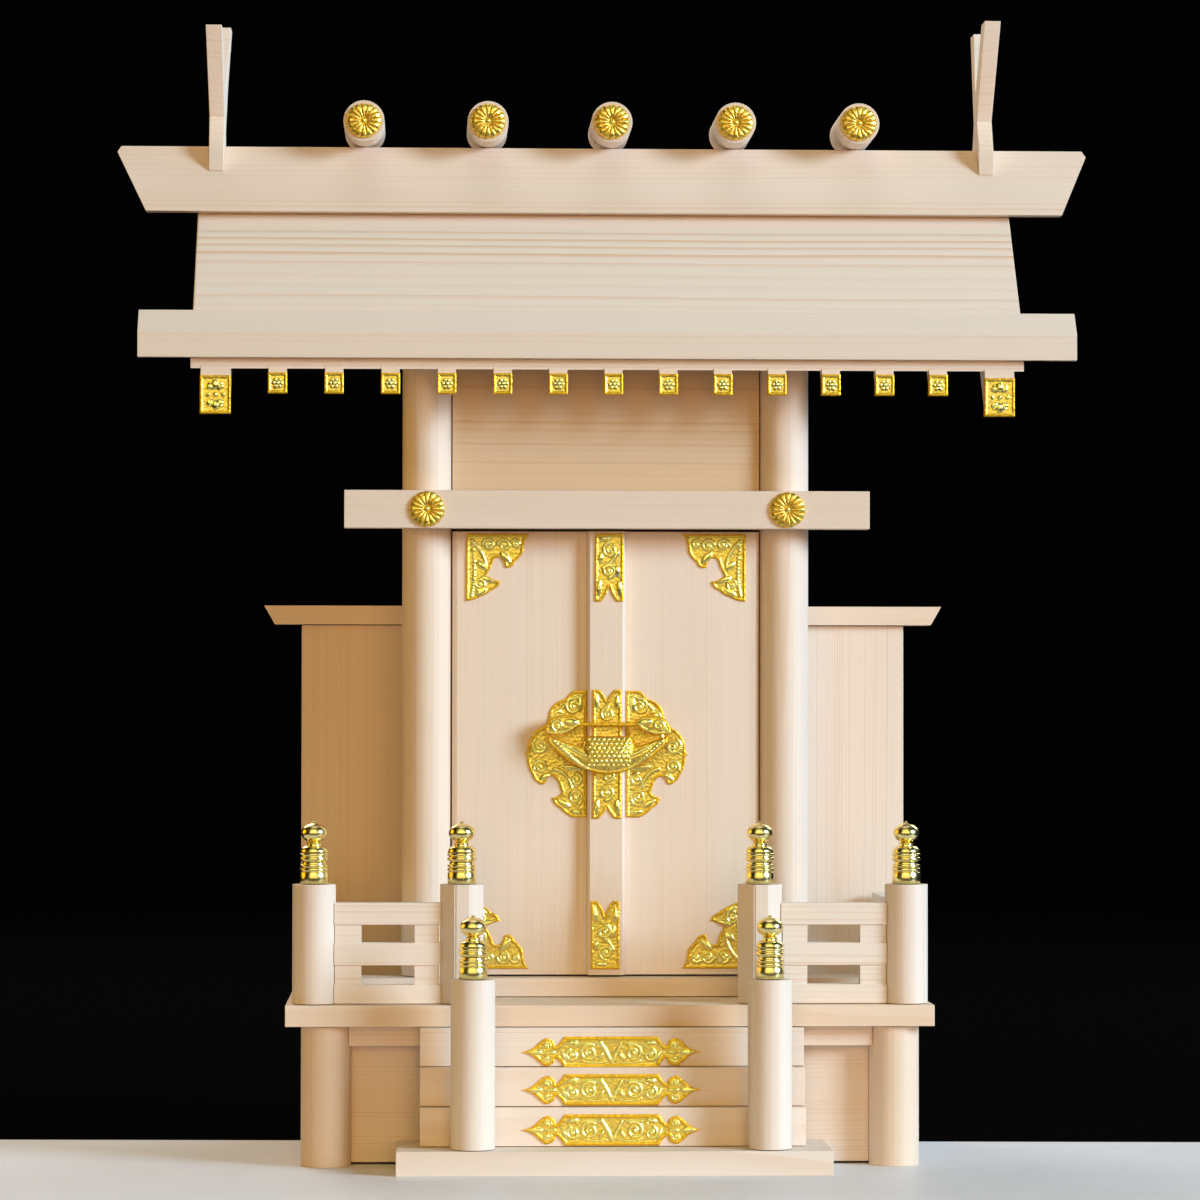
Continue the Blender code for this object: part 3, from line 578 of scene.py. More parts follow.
def pressed(name, outline, beads, back=0.0, rim=RIM, pitch=PITCH, pillow=0.0):
    """A plate of the given outline with a beaded edge and a relief, facing -Y, its back at y = back.

    pillow is how far its middle swells above its edge.
    """
    border = traced(outline, pitch)
    low, high = border.min(axis=0), border.max(axis=0)
    rows = numpy.arange(low[1], high[1], pitch * ROW_SPACING)
    lattice = numpy.array([(x + (row % 2) * pitch / 2.0, z) for row, z in enumerate(rows)
                           for x in numpy.arange(low[0], high[0], pitch)])
    lattice = lattice[inside(lattice, border)]
    lattice = lattice[distances(lattice, border) > BORDER_CLEARANCE * pitch]
    points = numpy.vstack((border, lattice))
    flat = [Vector(point) for point in points.tolist()]
    coords, _, faces, *_ = delaunay_2d_cdt(flat, [], [list(range(len(border)))], 1, 1.0e-5)
    spots = numpy.array([(point.x, point.y) for point in coords])
    edge = distances(spots, border)
    slope = (edge - rim) / (rim * RIM_SPREAD)
    bead = RIM_HEIGHT * numpy.sqrt(numpy.clip(1.0 - slope ** 2, 0.0, None))
    drawn = raised(spots, beads) * numpy.clip(edge / rim, 0.0, 1.0)
    relief = numpy.maximum(bead, drawn)
    # painted light for the gilt: 0 at the plate's edge as painted shade, the ground part way, the
    # strokes up to 1 as painted highlight
    inner = numpy.clip((edge - rim) / rim, 0.0, 1.0)
    painted_light_shares = inner * GROUND_PAINTED_LIGHT + (1.0 - GROUND_PAINTED_LIGHT) * numpy.clip(drawn / STROKE, 0.0, 1.0)
    if pillow:
        relief = relief + pillow * (1.0 - numpy.exp(-edge / pillow))
    data = bmesh.new()
    painted_light = data.verts.layers.float.new("painted_light")
    verts = [data.verts.new((x, -GROUND - height, z)) for (x, z), height in zip(spots, relief)]
    for vert, value in zip(verts, painted_light_shares):
        vert[painted_light] = value
    for face in faces:
        data.faces.new([verts[index] for index in face])
    rim_edges = [item for item in data.edges if item.is_boundary]
    walls = bmesh.ops.extrude_edge_only(data, edges=rim_edges)["geom"]
    for vert in walls:
        if isinstance(vert, bmesh.types.BMVert):
            vert.co.y = back
    foot = [item for item in walls if isinstance(item, bmesh.types.BMEdge)]
    bmesh.ops.edgeloop_fill(data, edges=foot)
    bmesh.ops.recalc_face_normals(data, faces=data.faces)
    mesh = bpy.data.meshes.new(name)
    data.to_mesh(mesh)
    data.free()
    return mesh


def set_piece(name, meshes, body, finish):
    """Join placed copies of meshes into one finished piece.

    Each copy is (mesh, (x, y, z) of its own origin in metres, (sign of x, sign of z)).
    """
    data = bmesh.new()
    for mesh, origin, (sign_x, sign_z) in meshes:
        copy = bmesh.new()
        copy.from_mesh(mesh)
        for vert in copy.verts:
            vert.co = Vector(origin) + Vector((vert.co.x * sign_x, vert.co.y, vert.co.z * sign_z)) * MM
        if sign_x * sign_z < 0:
            bmesh.ops.reverse_faces(copy, faces=copy.faces)
        part = bpy.data.meshes.new("copy")
        copy.to_mesh(part)
        copy.free()
        data.from_mesh(part)
        bpy.data.meshes.remove(part)
    joined = bpy.data.meshes.new(name)
    data.to_mesh(joined)
    data.free()
    joined.shade_smooth()
    joined.set_sharp_from_angle(angle=SHARP_ANGLE)
    joined.materials.append(finish)
    piece = bpy.data.objects.new(name, joined)
    bpy.context.scene.collection.objects.link(piece)
    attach(piece, body)
    return piece


# ---- the plates ----

def corner_plate():
    """Cloud-edged plate for a door's upper left corner, which is its origin."""
    outline = [(0.0, 0.0, 0), (0.0, -28.8, 0.12), (6.4, -26.9, 0.15), (11.0, -24.0, 0.35),
               (14.6, -20.3, -0.15), (8.8, -17.7, 0.05), (11.4, -12.5, -0.85), (15.9, -11.6, -0.25),
               (16.6, -14.1, 0.55), (20.8, -12.0, 0.15), (24.6, -7.4, -0.10), (25.1, -3.8, -0.25),
               (27.4, 0.0, 0)]
    beads = [
        *stem((2.2, -26.5), (4.5, -18.0), (2.4, -3.0)),
        *stem((2.4, -3.0), (9.0, -9.5), (8.2, -14.5)),
        *scroll((5.6, -21.6), 2.7, 250.0, 1.4),
        *scroll((9.6, -4.6), 2.5, 180.0, -1.4),
        *scroll((16.2, -4.9), 2.7, 170.0, -1.4),
        *scroll((21.2, -4.3), 1.9, 150.0, -1.2),
        *leaf((14.8, -7.8), (19.2, -12.6), 1.0),
        *leaf((6.2, -18.6), (12.8, -20.4), 0.9),
        *leaf((5.0, -12.0), (8.6, -15.4), 0.9),
        *leaf((4.0, -26.4), (9.0, -23.6), 0.7),
    ]
    return pressed("corner_plate", outline, beads)


def strip_plate():
    """Straight plate with a swallow tail below; its origin is the middle of its upper edge."""
    half = 6.1
    foot = -29.0
    outline = [(-half, 0.0, 0), (-half, foot, 0), (-3.3, foot, 0.10), (0.0, -22.6, 0.10), (3.3, foot, 0),
               (half, foot, 0), (half, 0.0, 0)]
    beads = [
        *scroll((0.4, -7.0), 3.1, 100.0, 1.5),
        *scroll((-0.4, -16.0), 2.9, 280.0, 1.5),
        *stem((3.4, -8.2), (2.2, -12.0), (-2.8, -14.6)),
        *leaf((-3.8, -2.2), (0.4, -2.0), 0.8),
        *leaf((3.2, -13.6), (3.8, -18.6), 0.8),
        *leaf((-3.8, -12.0), (-3.6, -8.0), 0.7),
        *leaf((-4.2, -20.0), (-4.6, -26.8), 0.7),
        *leaf((4.2, -20.0), (4.6, -26.8), 0.7),
    ]
    return pressed("strip_plate", outline, beads)


def lock_plate_half():
    """Left half of the round, cloud-edged plate behind the lock; its origin is the whole's middle."""
    outline = [(-8.2, 27.2, 0), (-14.0, 27.1, 0.10), (-16.4, 24.6, -0.15), (-18.8, 23.2, 0.30),
               (-24.4, 16.4, -0.15), (-25.8, 12.7, -0.10), (-28.6, 10.8, 0.28), (-33.6, 0.9, -0.1),
               (-35.0, 0.0, -0.1), (-33.6, -1.0, 0.16), (-31.4, -9.0, 0.20), (-28.6, -12.4, 0.65),
               (-25.5, -11.6, -0.45), (-22.4, -9.7, -0.10), (-19.8, -12.8, 0.12),
               (-18.6, -16.2, -0.30), (-22.8, -18.6, 0.30), (-19.4, -23.1, 0.12), (-14.2, -27.1, 0.0),
               (-8.2, -27.1, 0)]
    beads = [
        *scroll((-14.0, 20.4), 3.4, 90.0, 1.5),
        *scroll((-20.6, 15.4), 2.8, 60.0, 1.4),
        *scroll((-28.4, 3.4), 3.4, 120.0, 1.5),
        *scroll((-28.0, -5.6), 3.0, 200.0, -1.4),
        *scroll((-13.2, -18.6), 3.2, 300.0, 1.5),
        *scroll((-12.8, -11.0), 2.6, 90.0, -1.3),
        *stem((-10.4, 25.0), (-20.0, 22.0), (-23.2, 12.4)),
        *stem((-23.2, 12.4), (-22.0, 4.0), (-30.6, 0.6)),
        *stem((-22.0, -6.4), (-16.0, -8.0), (-14.6, -14.6)),
        *leaf((-11.0, 24.4), (-11.0, 18.0), 0.8),
        *leaf((-16.4, 12.6), (-23.0, 9.0), 1.0),
        *leaf((-24.4, -8.6), (-28.4, -11.2), 0.9),
        *leaf((-15.4, -22.6), (-20.8, -19.6), 0.9),
        *leaf((-10.6, -25.2), (-15.0, -24.6), 0.8),
        *leaf((-10.4, -6.0), (-18.4, -5.4), 1.0),
    ]
    return pressed("lock_plate_half", outline, beads)


def lock_plate_middle():
    """The strip between the halves, notched at both ends; its origin is its middle."""
    half = 6.1
    tall = 27.6
    notch = 22.8
    outline = [(-half, tall, 0), (-half, -tall, 0), (-3.4, -tall, 0.10), (0.0, -notch, 0.10),
               (3.4, -tall, 0), (half, -tall, 0), (half, tall, 0), (3.4, tall, 0.10),
               (0.0, notch, 0.10), (-3.4, tall, 0)]
    beads = [
        *scroll((0.2, 17.0), 3.0, 90.0, 1.5),
        *scroll((-0.4, -16.6), 3.2, 270.0, 1.5),
        *scroll((0.6, -9.6), 2.4, 90.0, -1.3),
        *leaf((-4.2, 19.5), (-4.6, 25.6), 0.7),
        *leaf((4.2, 19.5), (4.6, 25.6), 0.7),
        *leaf((-4.2, -19.5), (-4.6, -25.6), 0.7),
        *leaf((4.2, -19.5), (4.6, -25.6), 0.7),
    ]
    return pressed("lock_plate_middle", outline, beads)


def step_plate():
    """Long plate with an arrow-shaped leaf at each end; its origin is its middle."""
    right = [(21.9, -3.0, -0.5), (23.3, -2.7, 0.35), (25.0, -5.2, 0.45), (28.6, -4.6, 0.12),
             (30.6, -2.9, -0.14), (37.1, 0.0, -0.14), (30.6, 2.9, 0.12), (28.6, 4.6, 0.45),
             (25.0, 5.2, 0.35), (23.3, 2.7, -0.5), (21.9, 3.0, -0.12), (19.4, 6.4, 0)]
    left = [(-x, -z, bulge) for x, z, bulge in right]
    outline = [(19.4, -6.4, -0.12), *right, (-19.4, 6.4, -0.12), *left]
    fork = [
        *stem((-4.4, 4.0), (-2.0, 0.6), (0.0, -4.0), (0.75, 0.9)),
        *stem((4.0, 3.6), (2.4, 0.2), (0.0, -4.0), (0.5, 0.9)),
    ]
    half = [
        *scroll((9.2, -0.2), 3.6, 120.0, -1.5),
        *scroll((16.0, -1.2), 2.6, 60.0, -1.3),
        *stem((2.2, -3.8), (7.0, -5.2), (12.0, -3.6), (0.55, 0.45)),
        *stem((5.6, 3.6), (10.0, 5.2), (14.6, 2.6), (0.55, 0.45)),
        *leaf((3.4, 0.0), (5.0, -3.0), 0.5),
        *leaf((14.2, 4.2), (18.4, 3.6), 0.6),
        *leaf((18.6, -3.2), (20.4, 0.6), 0.6),
        *scroll((26.4, 2.7), 1.6, 200.0, -1.1, (0.50, 0.40)),
        *scroll((26.4, -2.7), 1.6, 160.0, 1.1, (0.50, 0.40)),
        *leaf((23.0, 0.0), (27.6, 0.0), 0.4),
        *leaf((28.6, 0.0), (35.2, 0.0), 0.8),
    ]
    mirrored = [(-x, z, radius, height) for x, z, radius, height in half]
    return pressed("step_plate", outline, [*fork, *mirrored, *half], rim=STEP_RIM)


def rafter_cap(width, tall):
    """A cap for a stick's end, with a rosette between two buds; its origin is its lower middle."""
    half = width / 2.0
    outline = [(-half, 0.0, 0), (half, 0.0, 0), (half, tall, 0), (-half, tall, 0)]
    middle = tall / 2.0
    reach = min(half, middle) - 1.4
    petal_reach = reach * 0.62
    beads = [(0.0, middle, 0.9, 0.75)]
    for petal in range(6):
        turn = math.pi * petal / 3.0
        beads.append((petal_reach * math.cos(turn), middle + petal_reach * math.sin(turn), 0.75, 0.55))
    if tall > 1.2 * width:
        for side in (-1.0, 1.0):
            beads += leaf((0.0, middle + side * 3.0), (0.0, middle + side * 6.2), 1.0)
            beads += scroll((2.6 * side, middle + 3.6), 1.3, 90.0, side * 1.0, (0.45, 0.35))
            beads += scroll((2.6 * side, middle - 3.6), 1.3, 270.0, -side * 1.0, (0.45, 0.35))
    return pressed("rafter_cap", outline, beads, back=SLEEVE, pitch=CAP_PITCH)


def chrysanthemum():
    """A round cap of sixteen crowned petals round a dished middle with a boss, facing -Y."""
    around = CAP_PETALS * CAP_STEPS
    data = bmesh.new()
    painted_light = data.verts.layers.float.new("painted_light")
    loops = []
    for number in range(1, CAP_RINGS + 1):
        share = number / CAP_RINGS
        radius = share * CAP_RADIUS
        petal = max(0.0, (share - CAP_EYE) / (1.0 - CAP_EYE))
        back = math.sin(math.pi * min(1.0, petal ** 0.75 * 0.93))
        fall = (share - CAP_CROWN) / ((1.0 - CAP_CROWN) if share > CAP_CROWN else CAP_CROWN)
        crown = CAP_EDGE + (CAP_RISE - 1.0) * math.sqrt(1.0 - fall ** 2)
        loop = []
        for step in range(around):
            turn = 2.0 * math.pi * step / around
            lobe = abs(math.cos(CAP_PETALS * turn / 2.0)) ** 0.6
            height = crown + CAP_SWELL * lobe * back
            if radius < CAP_BOSS:
                height = CAP_RISE - CAP_BOSS_FALL * (radius / CAP_BOSS) ** 2
            reach = radius * (1.0 - CAP_SCALLOP * (1.0 - lobe) * petal ** 3)
            vert = data.verts.new((reach * math.cos(turn), -height, reach * math.sin(turn)))
            # painted light: lighter on the petals' backs, darker in the valleys between them as painted
            # shade, brightest on the boss and its tip as painted highlight
            vert[painted_light] = 0.5 * lobe if radius > CAP_BOSS else 0.9
            loop.append(vert)
        loops.append(loop)
    tip = data.verts.new((0.0, -CAP_RISE, 0.0))
    tip[painted_light] = 1.0
    foot = [data.verts.new((vert.co.x, 0.0, vert.co.z)) for vert in loops[-1]]
    loops.append(foot)
    for index in range(around):
        after = (index + 1) % around
        data.faces.new((tip, loops[0][index], loops[0][after]))
        for inner, outer in zip(loops, loops[1:]):
            data.faces.new((inner[index], outer[index], outer[after], inner[after]))
    data.faces.new(foot)
    bmesh.ops.recalc_face_normals(data, faces=data.faces)
    mesh = bpy.data.meshes.new("chrysanthemum")
    data.to_mesh(mesh)
    data.free()
    return mesh


def set_out_tree():
    """Geometry nodes that set one fitting at every point."""
    tree = bpy.data.node_groups.new("set_out", "GeometryNodeTree")
    sockets = tree.interface
    sockets.new_socket("Points", in_out="INPUT", socket_type="NodeSocketGeometry")
    fitting = sockets.new_socket("Fitting", in_out="INPUT", socket_type="NodeSocketObject")
    size = sockets.new_socket("Size", in_out="INPUT", socket_type="NodeSocketFloat")
    metal = sockets.new_socket("Metal", in_out="INPUT", socket_type="NodeSocketMaterial")
    sockets.new_socket("Fittings", in_out="OUTPUT", socket_type="NodeSocketGeometry")
    given = tree.nodes.new("NodeGroupInput")
    shape = tree.nodes.new("GeometryNodeObjectInfo")
    shape.inputs["As Instance"].default_value = True
    copies = tree.nodes.new("GeometryNodeInstanceOnPoints")
    solid = tree.nodes.new("GeometryNodeRealizeInstances")
    coat = tree.nodes.new("GeometryNodeSetMaterial")
    result = tree.nodes.new("NodeGroupOutput")
    for source, target in ((given.outputs["Points"], copies.inputs["Points"]),
                           (given.outputs["Fitting"], shape.inputs["Object"]),
                           (given.outputs["Size"], copies.inputs["Scale"]),
                           (given.outputs["Metal"], coat.inputs["Material"]),
                           (shape.outputs["Geometry"], copies.inputs["Instance"]),
                           (copies.outputs["Instances"], solid.inputs["Geometry"]),
                           (solid.outputs["Geometry"], coat.inputs["Geometry"]),
                           (coat.outputs["Geometry"], result.inputs["Fittings"])):
        tree.links.new(source, target)
    return tree, {"fitting": fitting.identifier, "size": size.identifier, "metal": metal.identifier}


def set_out(group, name, shape, spots, body, finish):
    """Copies of one fitting at the given points, as one plain mesh that rides on a body.

    group is what set_out_tree gives: the tree, and the identifiers of its inputs.
    """
    tree, keys = group
    pattern = bpy.data.objects.new(name + "_pattern", shape)
    bpy.context.scene.collection.objects.link(pattern)
    points = bpy.data.meshes.new(name + "_points")
    points.from_pydata([tuple(spot) for spot in spots], [], [])
    carrier = bpy.data.objects.new(name + "_points", points)
    bpy.context.scene.collection.objects.link(carrier)
    change = carrier.modifiers.new("set_out", "NODES")
    change.node_group = tree
    change[keys["fitting"]] = pattern
    change[keys["size"]] = MM
    change[keys["metal"]] = finish
    evaluated = carrier.evaluated_get(bpy.context.evaluated_depsgraph_get())
    mesh = bpy.data.meshes.new_from_object(evaluated)
    mesh.name = name
    bpy.data.objects.remove(carrier)
    bpy.data.objects.remove(pattern)
    mesh.shade_smooth()
    mesh.set_sharp_from_angle(angle=SHARP_ANGLE)
    piece = bpy.data.objects.new(name, mesh)
    bpy.context.scene.collection.objects.link(piece)
    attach(piece, body)
    return piece


# ---- turned finials and the lock ----

def finial_profile():
    """Radius and height from the foot to the point, with rounded rings."""
    sleeve = [(0.0, 0.0), (5.75, 0.0), (5.9, 0.15), (5.9, 4.5), (5.75, 4.7), (5.35, 4.75), (5.35, 4.95)]
    waist = [(5.3, 6.65), (5.35, 6.8), (5.75, 6.85), (5.9, 7.0), (5.9, 7.7), (5.7, 7.9), (5.1, 8.1),
             (5.0, 8.6), (5.1, 9.2), (5.6, 9.4)]
    groove = [(5.45, 11.1), (5.45, 11.35)]
    neck = [(3.0, 16.0), (3.0, 16.6), (3.3, 16.9)]
    point = [(0.85, 25.1), (0.7, 25.5), (0.4, 25.85), (0.0, 26.0)]
    dome = []
    for step in range(1, DOME_STEPS + 1):
        turn = 0.5 * math.pi * step / DOME_STEPS
        dome.append((DOME_MIDDLE[0] + DOME_REACH[0] * math.cos(turn),
                     DOME_MIDDLE[1] + DOME_REACH[1] * math.sin(turn)))
    bulb = []                  # the neck and the point stand in for its two ends
    for step in range(3, BULB_STEPS - 1):
        turn = math.pi * step / BULB_STEPS
        bulb.append((max(BULB_REACH[0] * math.sin(turn), BULB_TIP),
                     BULB_MIDDLE - BULB_REACH[1] * math.cos(turn)))
    return [*sleeve, *ring(5.35, 6.05, 4.95, 6.6), *waist, *ring(5.5, 6.1, 9.5, 11.0), *groove,
            *ring(5.45, 6.1, 11.4, 12.7), (5.7, 12.75), *dome, *neck, *bulb, *point]


def ring(inner, outer, low, high):
    """A half-round ring standing out between two heights."""
    middle = (low + high) / 2.0
    half = (high - low) / 2.0
    turns = [math.pi * step / RING_STEPS for step in range(RING_STEPS + 1)]
    return [(inner + (outer - inner) * math.sin(turn), middle - half * math.cos(turn)) for turn in turns]


def turned(profile):
    """Spin a profile of (radius, height) about the upright axis."""
    data = bmesh.new()
    verts = [data.verts.new((radius, 0.0, height)) for radius, height in profile]
    edges = [data.edges.new(pair) for pair in zip(verts, verts[1:])]
    bmesh.ops.spin(data, geom=verts + edges, cent=(0.0, 0.0, 0.0), axis=(0.0, 0.0, 1.0),
                   angle=2.0 * math.pi, steps=FINIAL_SIDES, use_merge=True)
    bmesh.ops.remove_doubles(data, verts=data.verts, dist=0.0005)
    bmesh.ops.recalc_face_normals(data, faces=data.faces)
    mesh = bpy.data.meshes.new("turned")
    data.to_mesh(mesh)
    data.free()
    return mesh


def finials(finish):
    """A turned finial in the place of each plain one."""
    shape = turned(finial_profile())
    for node in sorted(nodes):
        if "finial" not in node:
            continue
        low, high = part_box(node)
        middle = (low + high) / 2.0
        piece = set_piece(node.replace("finial", "turned_finial"),
                          [(shape, (middle.x, middle.y, low.z), (1, 1))], "shrine", finish)
        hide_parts(node)


def lock(finish):
    """A boat-shaped lock: its body, two curled leaves rising from its ends, a bar and a studded drum."""
    low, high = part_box("door_lock")
    shares = [2.0 * step / LOCK_STEPS - 1.0 for step in range(LOCK_STEPS + 1)]
    lower = [(LOCK_HALF * share, LOCK_KEEL + LOCK_KEEL_RISE * share ** 2, 0) for share in shares]
    upper = [(-LOCK_HALF * share, LOCK_SADDLE + LOCK_SADDLE_RISE * share ** 2, 0) for share in shares]
    ribs = []
    for side in (-1.0, 1.0):
        ribs += stem((side * 23.0, 5.2), (side * 13.0, -5.6), (side * 9.0, -7.0), (0.9, 0.8), 0.8)
        ribs += stem((side * 22.4, 5.8), (side * 14.0, 0.4), (side * 9.6, -1.2), (0.7, 0.6), 0.6)
    body = pressed("lock_body", [*lower, *upper], ribs, back=LOCK_DEPTH, pillow=1.8)
    studs = [(STUD_START[0] + STUD_PITCH[0] * (column + 0.5 * (row % 2)),
              STUD_START[1] + STUD_PITCH[1] * row, *STUD)
             for row in range(STUD_ROWS) for column in range(STUD_COLUMNS)]
    drum_shape = [(-9.4, -6.6, 0), (9.4, -6.6, 0.3), (9.4, 7.0, 0), (-9.4, 7.0, 0.3)]
    drum = pressed("lock_drum", drum_shape, studs, back=2.0, rim=0.4, pillow=4.6)
    leaf_shape = [(27.2, 8.0, 0.25), (23.6, 15.0, 0.15), (16.4, 15.8, 0.15), (12.4, 14.0, 0.3),
                  (12.0, 11.6, -0.1), (15.5, 8.9, -0.12), (19.4, 7.2, 0.0)]
    curls = [*scroll((21.6, 11.6), 2.6, 300.0, 1.2), *leaf((13.2, 12.8), (18.6, 13.4), 1.0),
             *stem((26.0, 8.6), (18.6, 6.8), (12.8, 12.0), (0.8, 0.7), 0.9)]
    arm = pressed("lock_arm", leaf_shape, curls, back=2.4, pillow=1.2)
    bar_shape = [(-13.0, 11.2, 0), (13.0, 11.2, 0), (13.0, 12.9, 0), (-13.0, 12.9, 0)]
    bar = pressed("lock_bar", bar_shape, [], back=1.0, rim=0.5, pillow=0.6)
    datum = (LOCK_SHIFT * MM, high.y - LOCK_DEPTH * MM, low.z - LOCK_KEEL * MM)
    piece = set_piece("boat_lock", [(shape, datum, (side, 1)) for shape, side in
                                    ((body, 1), (drum, 1), (arm, 1), (arm, -1), (bar, 1))],
                      "door_right", finish)
    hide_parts("door_lock")


def door_plates(finish):
    """Corner plates, the strip's plates and the round plate behind the lock, each on its own leaf."""
    doors = {"left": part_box("door_left"), "right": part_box("door_right")}
    face = doors["left"][0].y
    top = doors["left"][1].z - DOOR_PLATE_TOP * MM
    foot = doors["left"][0].z + DOOR_PLATE_FOOT * MM
    outer = doors["right"][1].x - DOOR_PLATE_EDGE * MM
    lock_low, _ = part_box("door_lock")
    centre_z = lock_low.z + LOCK_PLATE_RISE * MM
    plate = corner_plate()
    half = lock_plate_half()
    for side, name in ((-1, "left"), (1, "right")):
        body = "door_" + name
        set_piece("corner_plates_" + name,
                  [(plate, (side * outer, face, top), (-side, 1)),
                   (plate, (side * outer, face, foot), (-side, -1))], body, finish)
        set_piece("lock_plate_" + name,
                  [(half, (LOCK_PLATE_X[name] * MM, face, centre_z), (-side, 1))], body, finish)

    strip_low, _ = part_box("meeting_strip")
    straight = strip_plate()
    middle = lock_plate_middle()
    set_piece("strip_plates",
              [(straight, (STRIP_PLATE_X["top"] * MM, strip_low.y, top), (1, 1)),
               (straight, (STRIP_PLATE_X["foot"] * MM, strip_low.y, foot), (1, -1)),
               (middle, (STRIP_PLATE_X["middle"] * MM, strip_low.y, centre_z), (1, 1))],
              "door_right", finish)


def step_plates(finish):
    """A long plate on the front of each step."""
    plate = step_plate()
    spots = []
    for name, drop in STEP_PLATE_DROP.items():
        low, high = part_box(name)
        centre = (STEP_PLATE_SHIFT * MM, low.y, (low.z + high.z) / 2.0 - drop * MM)
        spots.append((plate, centre, (1, 1)))
    set_piece("step_plates", spots, "shrine", finish)


def round_caps(group, finish):
    """Chrysanthemum caps on the ridge billets' ends, and on the tie beam in front of each pillar."""
    cap = chrysanthemum()
    billets = [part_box("katsuogi_%d" % number) for number in range(1, 6)]
    spots = [((low.x + high.x) / 2.0, low.y, (low.z + high.z) / 2.0) for low, high in billets]
    set_out(group, "billet_caps", cap, spots, "shrine", finish)
    beam_low, beam_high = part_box("tie_beam")
    pillar_low, pillar_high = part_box("pillar_right")
    pillar_x = (pillar_low.x + pillar_high.x) / 2.0
    spots = [(side * pillar_x, beam_low.y, (beam_low.z + beam_high.z) / 2.0) for side in (-1, 1)]
    set_out(group, "beam_caps", cap, spots, "shrine", finish)


def stick_caps(group, finish):
    """Caps on the front ends of the rafters and of the two end beams, which reach lower."""
    roof = nodes["roof_base"].data
    low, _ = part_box("roof_base")
    ends = {}                  # each stick's two sides, and how low its end reaches there
    for vert in roof.vertices:
        if vert.co.y < low.y + 0.1 * MM:
            side = round(vert.co.x, 5)
            ends[side] = min(vert.co.z, ends.get(side, math.inf))
    sides = sorted(ends)
    spots = [((left + right) / 2.0, low.y, ends[left]) for left, right in zip(sides[::2], sides[1::2])]
    small = [spot for spot in spots if spot[2] > low.z + MM]
    large = [spot for spot in spots if spot[2] <= low.z + MM]
    set_out(group, "rafter_caps", rafter_cap(*RAFTER_CAP), small, "shrine", finish)
    set_out(group, "end_beam_caps", rafter_cap(*END_BEAM_CAP), large, "shrine", finish)


# ---- setting ----

def pale_table():
    """Smooth, faintly clouded white."""
    finish = Finish("pale_table")
    grain = finish.noise(finish.scaled(finish.add("ShaderNodeTexCoord", output="Object"), 60.0))
    colour = finish.mixed(grain, *TABLE_WHITE)
    return finish.shade(colour, 0.45 + grain * 0.1, finish.bump(grain, 0.02, 0.0005))


def dark_cloth():
    """Dull black cloth that gives back hardly any light."""
    finish = Finish("dark_cloth")
    weave = finish.noise(finish.scaled(finish.add("ShaderNodeTexCoord", output="Object"), 900.0))
    colour = finish.mixed(weave, *CLOTH_BLACK)
    return finish.shade(colour, 0.95 - weave * 0.1, finish.bump(weave, 0.1, 0.0003), gloss=0.0)


def floor():
    """A small pale table top under the shrine's front, with dark cloth behind and round it."""
    left, right = TABLE_REAR
    middle = (left + right) / 2.0
    back = cad_box[1][1] + TONGUE_MARGIN
    table = [(-TABLE_HALF, TABLE_FRONT), (TABLE_HALF, TABLE_FRONT), (TABLE_HALF, right),
             (TONGUE_HALF, middle - TONGUE_SLANT), (TONGUE_HALF, back),
             (-TONGUE_HALF, back), (-TONGUE_HALF, middle + TONGUE_SLANT), (-TABLE_HALF, left)]
    front, rear = CLOTH_ENDS
    cloth = [(-CLOTH_HALF, front), (CLOTH_HALF, front), (CLOTH_HALF, rear), (-CLOTH_HALF, rear)]
    layers = (("table", pale_table(), table, 0.0), ("cloth", dark_cloth(), cloth, -CLOTH_DROP))
    for name, material, outline, level in layers:
        mesh = bpy.data.meshes.new(name)
        mesh.from_pydata([(x, y, level) for x, y in outline], [], [range(len(outline))])
        mesh.materials.append(material)
        item = bpy.data.objects.new(name, mesh)
        bpy.context.scene.collection.objects.link(item)


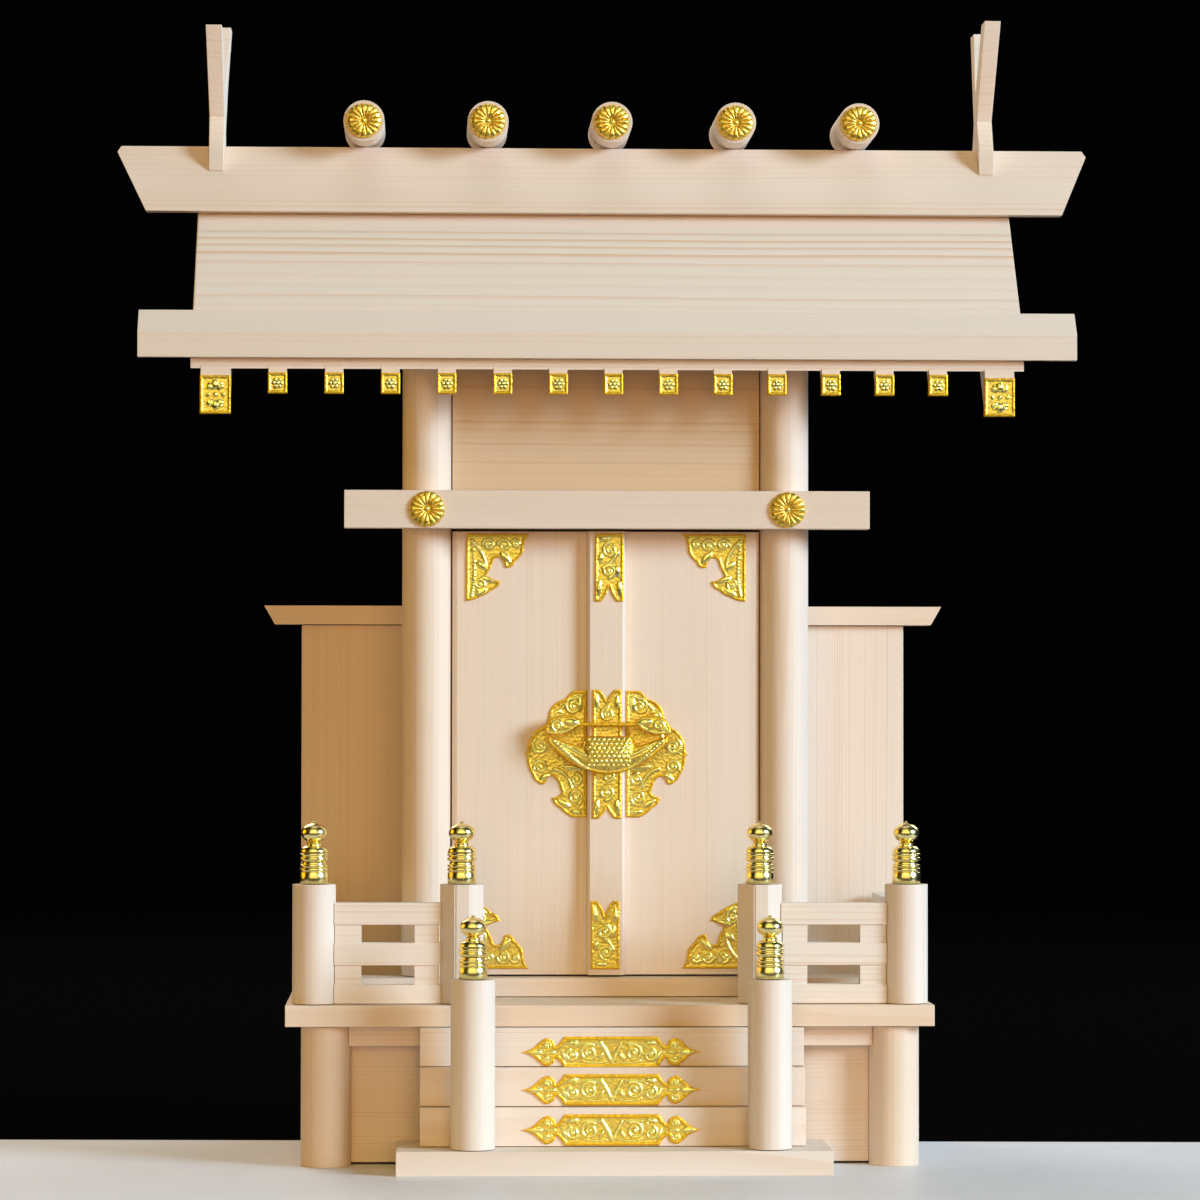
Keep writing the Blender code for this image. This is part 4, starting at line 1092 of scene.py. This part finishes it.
# Lamps: azimuth (0 is straight in front, 90 to the right), elevation, distance and size in metres,
# power in watts for each colour, and which of matt and glossy surfaces they light
LAMPS = {
    "key": (58.0, 16.0, 4.0, 1.5, (125.0, 161.0, 189.0), "both"),
    "front_fill": (0.0, 2.0, 2.4, 1.6, (25.6, 12.8, 4.4), "matt"),
    "left_fill": (-100.0, 10.0, 3.0, 2.0, (18.0, 10.0, 0.2), "both"),
    "top_fill": (-10.0, 42.0, 4.0, 4.0, (24.0, 23.0, 9.0), "both"),
    "table_fill": (180.0, 76.0, 4.0, 3.0, (30.0, 28.0, 28.0), "both"),
    "gold_sheen": (-6.0, 6.0, 2.4, 3.2, (32.0, 27.5, 12.0), "glossy"),
    "back_left": (205.0, 35.0, 2.0, 1.2, (16.0, 14.0, 12.0), "both"),
    "back_right": (140.0, 30.0, 2.0, 1.0, (8.0, 8.0, 8.0), "both"),
}


def studio():
    """Round lamps about the shrine, in a dark room."""
    aim = Vector(AIM)
    for name, (azimuth, elevation, distance, size, power, lights) in LAMPS.items():
        turn = math.radians(azimuth)
        rise = math.radians(elevation)
        light = bpy.data.lights.new(name, "AREA")
        light.shape = "DISK"
        light.size = size
        light.energy = max(power)
        light.color = [share / max(power) for share in power]
        item = bpy.data.objects.new(name, light)
        reach = math.cos(rise)
        away = Vector((math.sin(turn) * reach, -math.cos(turn) * reach, math.sin(rise)))
        item.location = aim + away * distance
        item.rotation_euler = (-away).to_track_quat("-Z", "Y").to_euler()
        item.visible_camera = False
        item.visible_glossy = lights != "matt"
        item.visible_diffuse = lights != "glossy"
        bpy.context.scene.collection.objects.link(item)
    world = bpy.data.worlds.new("studio")
    world.use_nodes = True
    background = world.node_tree.nodes["Background"]
    background.inputs["Color"].default_value = (ROOM, ROOM, ROOM, 1.0)
    bpy.context.scene.world = world
    bpy.context.scene.view_settings.view_transform = "Standard"


def camera():
    """The eye in front of the shrine, a little left of its middle."""
    lens = bpy.data.cameras.new("camera")
    lens.lens = LENS
    lens.sensor_width = SENSOR
    item = bpy.data.objects.new("camera", lens)
    item.location = EYE
    item.rotation_euler = [math.radians(angle) for angle in (90.0 + LOOK_UP, LEAN, -LOOK_RIGHT)]
    bpy.context.scene.collection.objects.link(item)
    bpy.context.scene.camera = item


dress_joinery()
sheet = pressed_gilt()
mirror = polished_gilt()
finials(mirror)
lock(sheet)
door_plates(sheet)
step_plates(sheet)
setting = set_out_tree()
round_caps(setting, sheet)
stick_caps(setting, sheet)
floor()
studio()
camera()
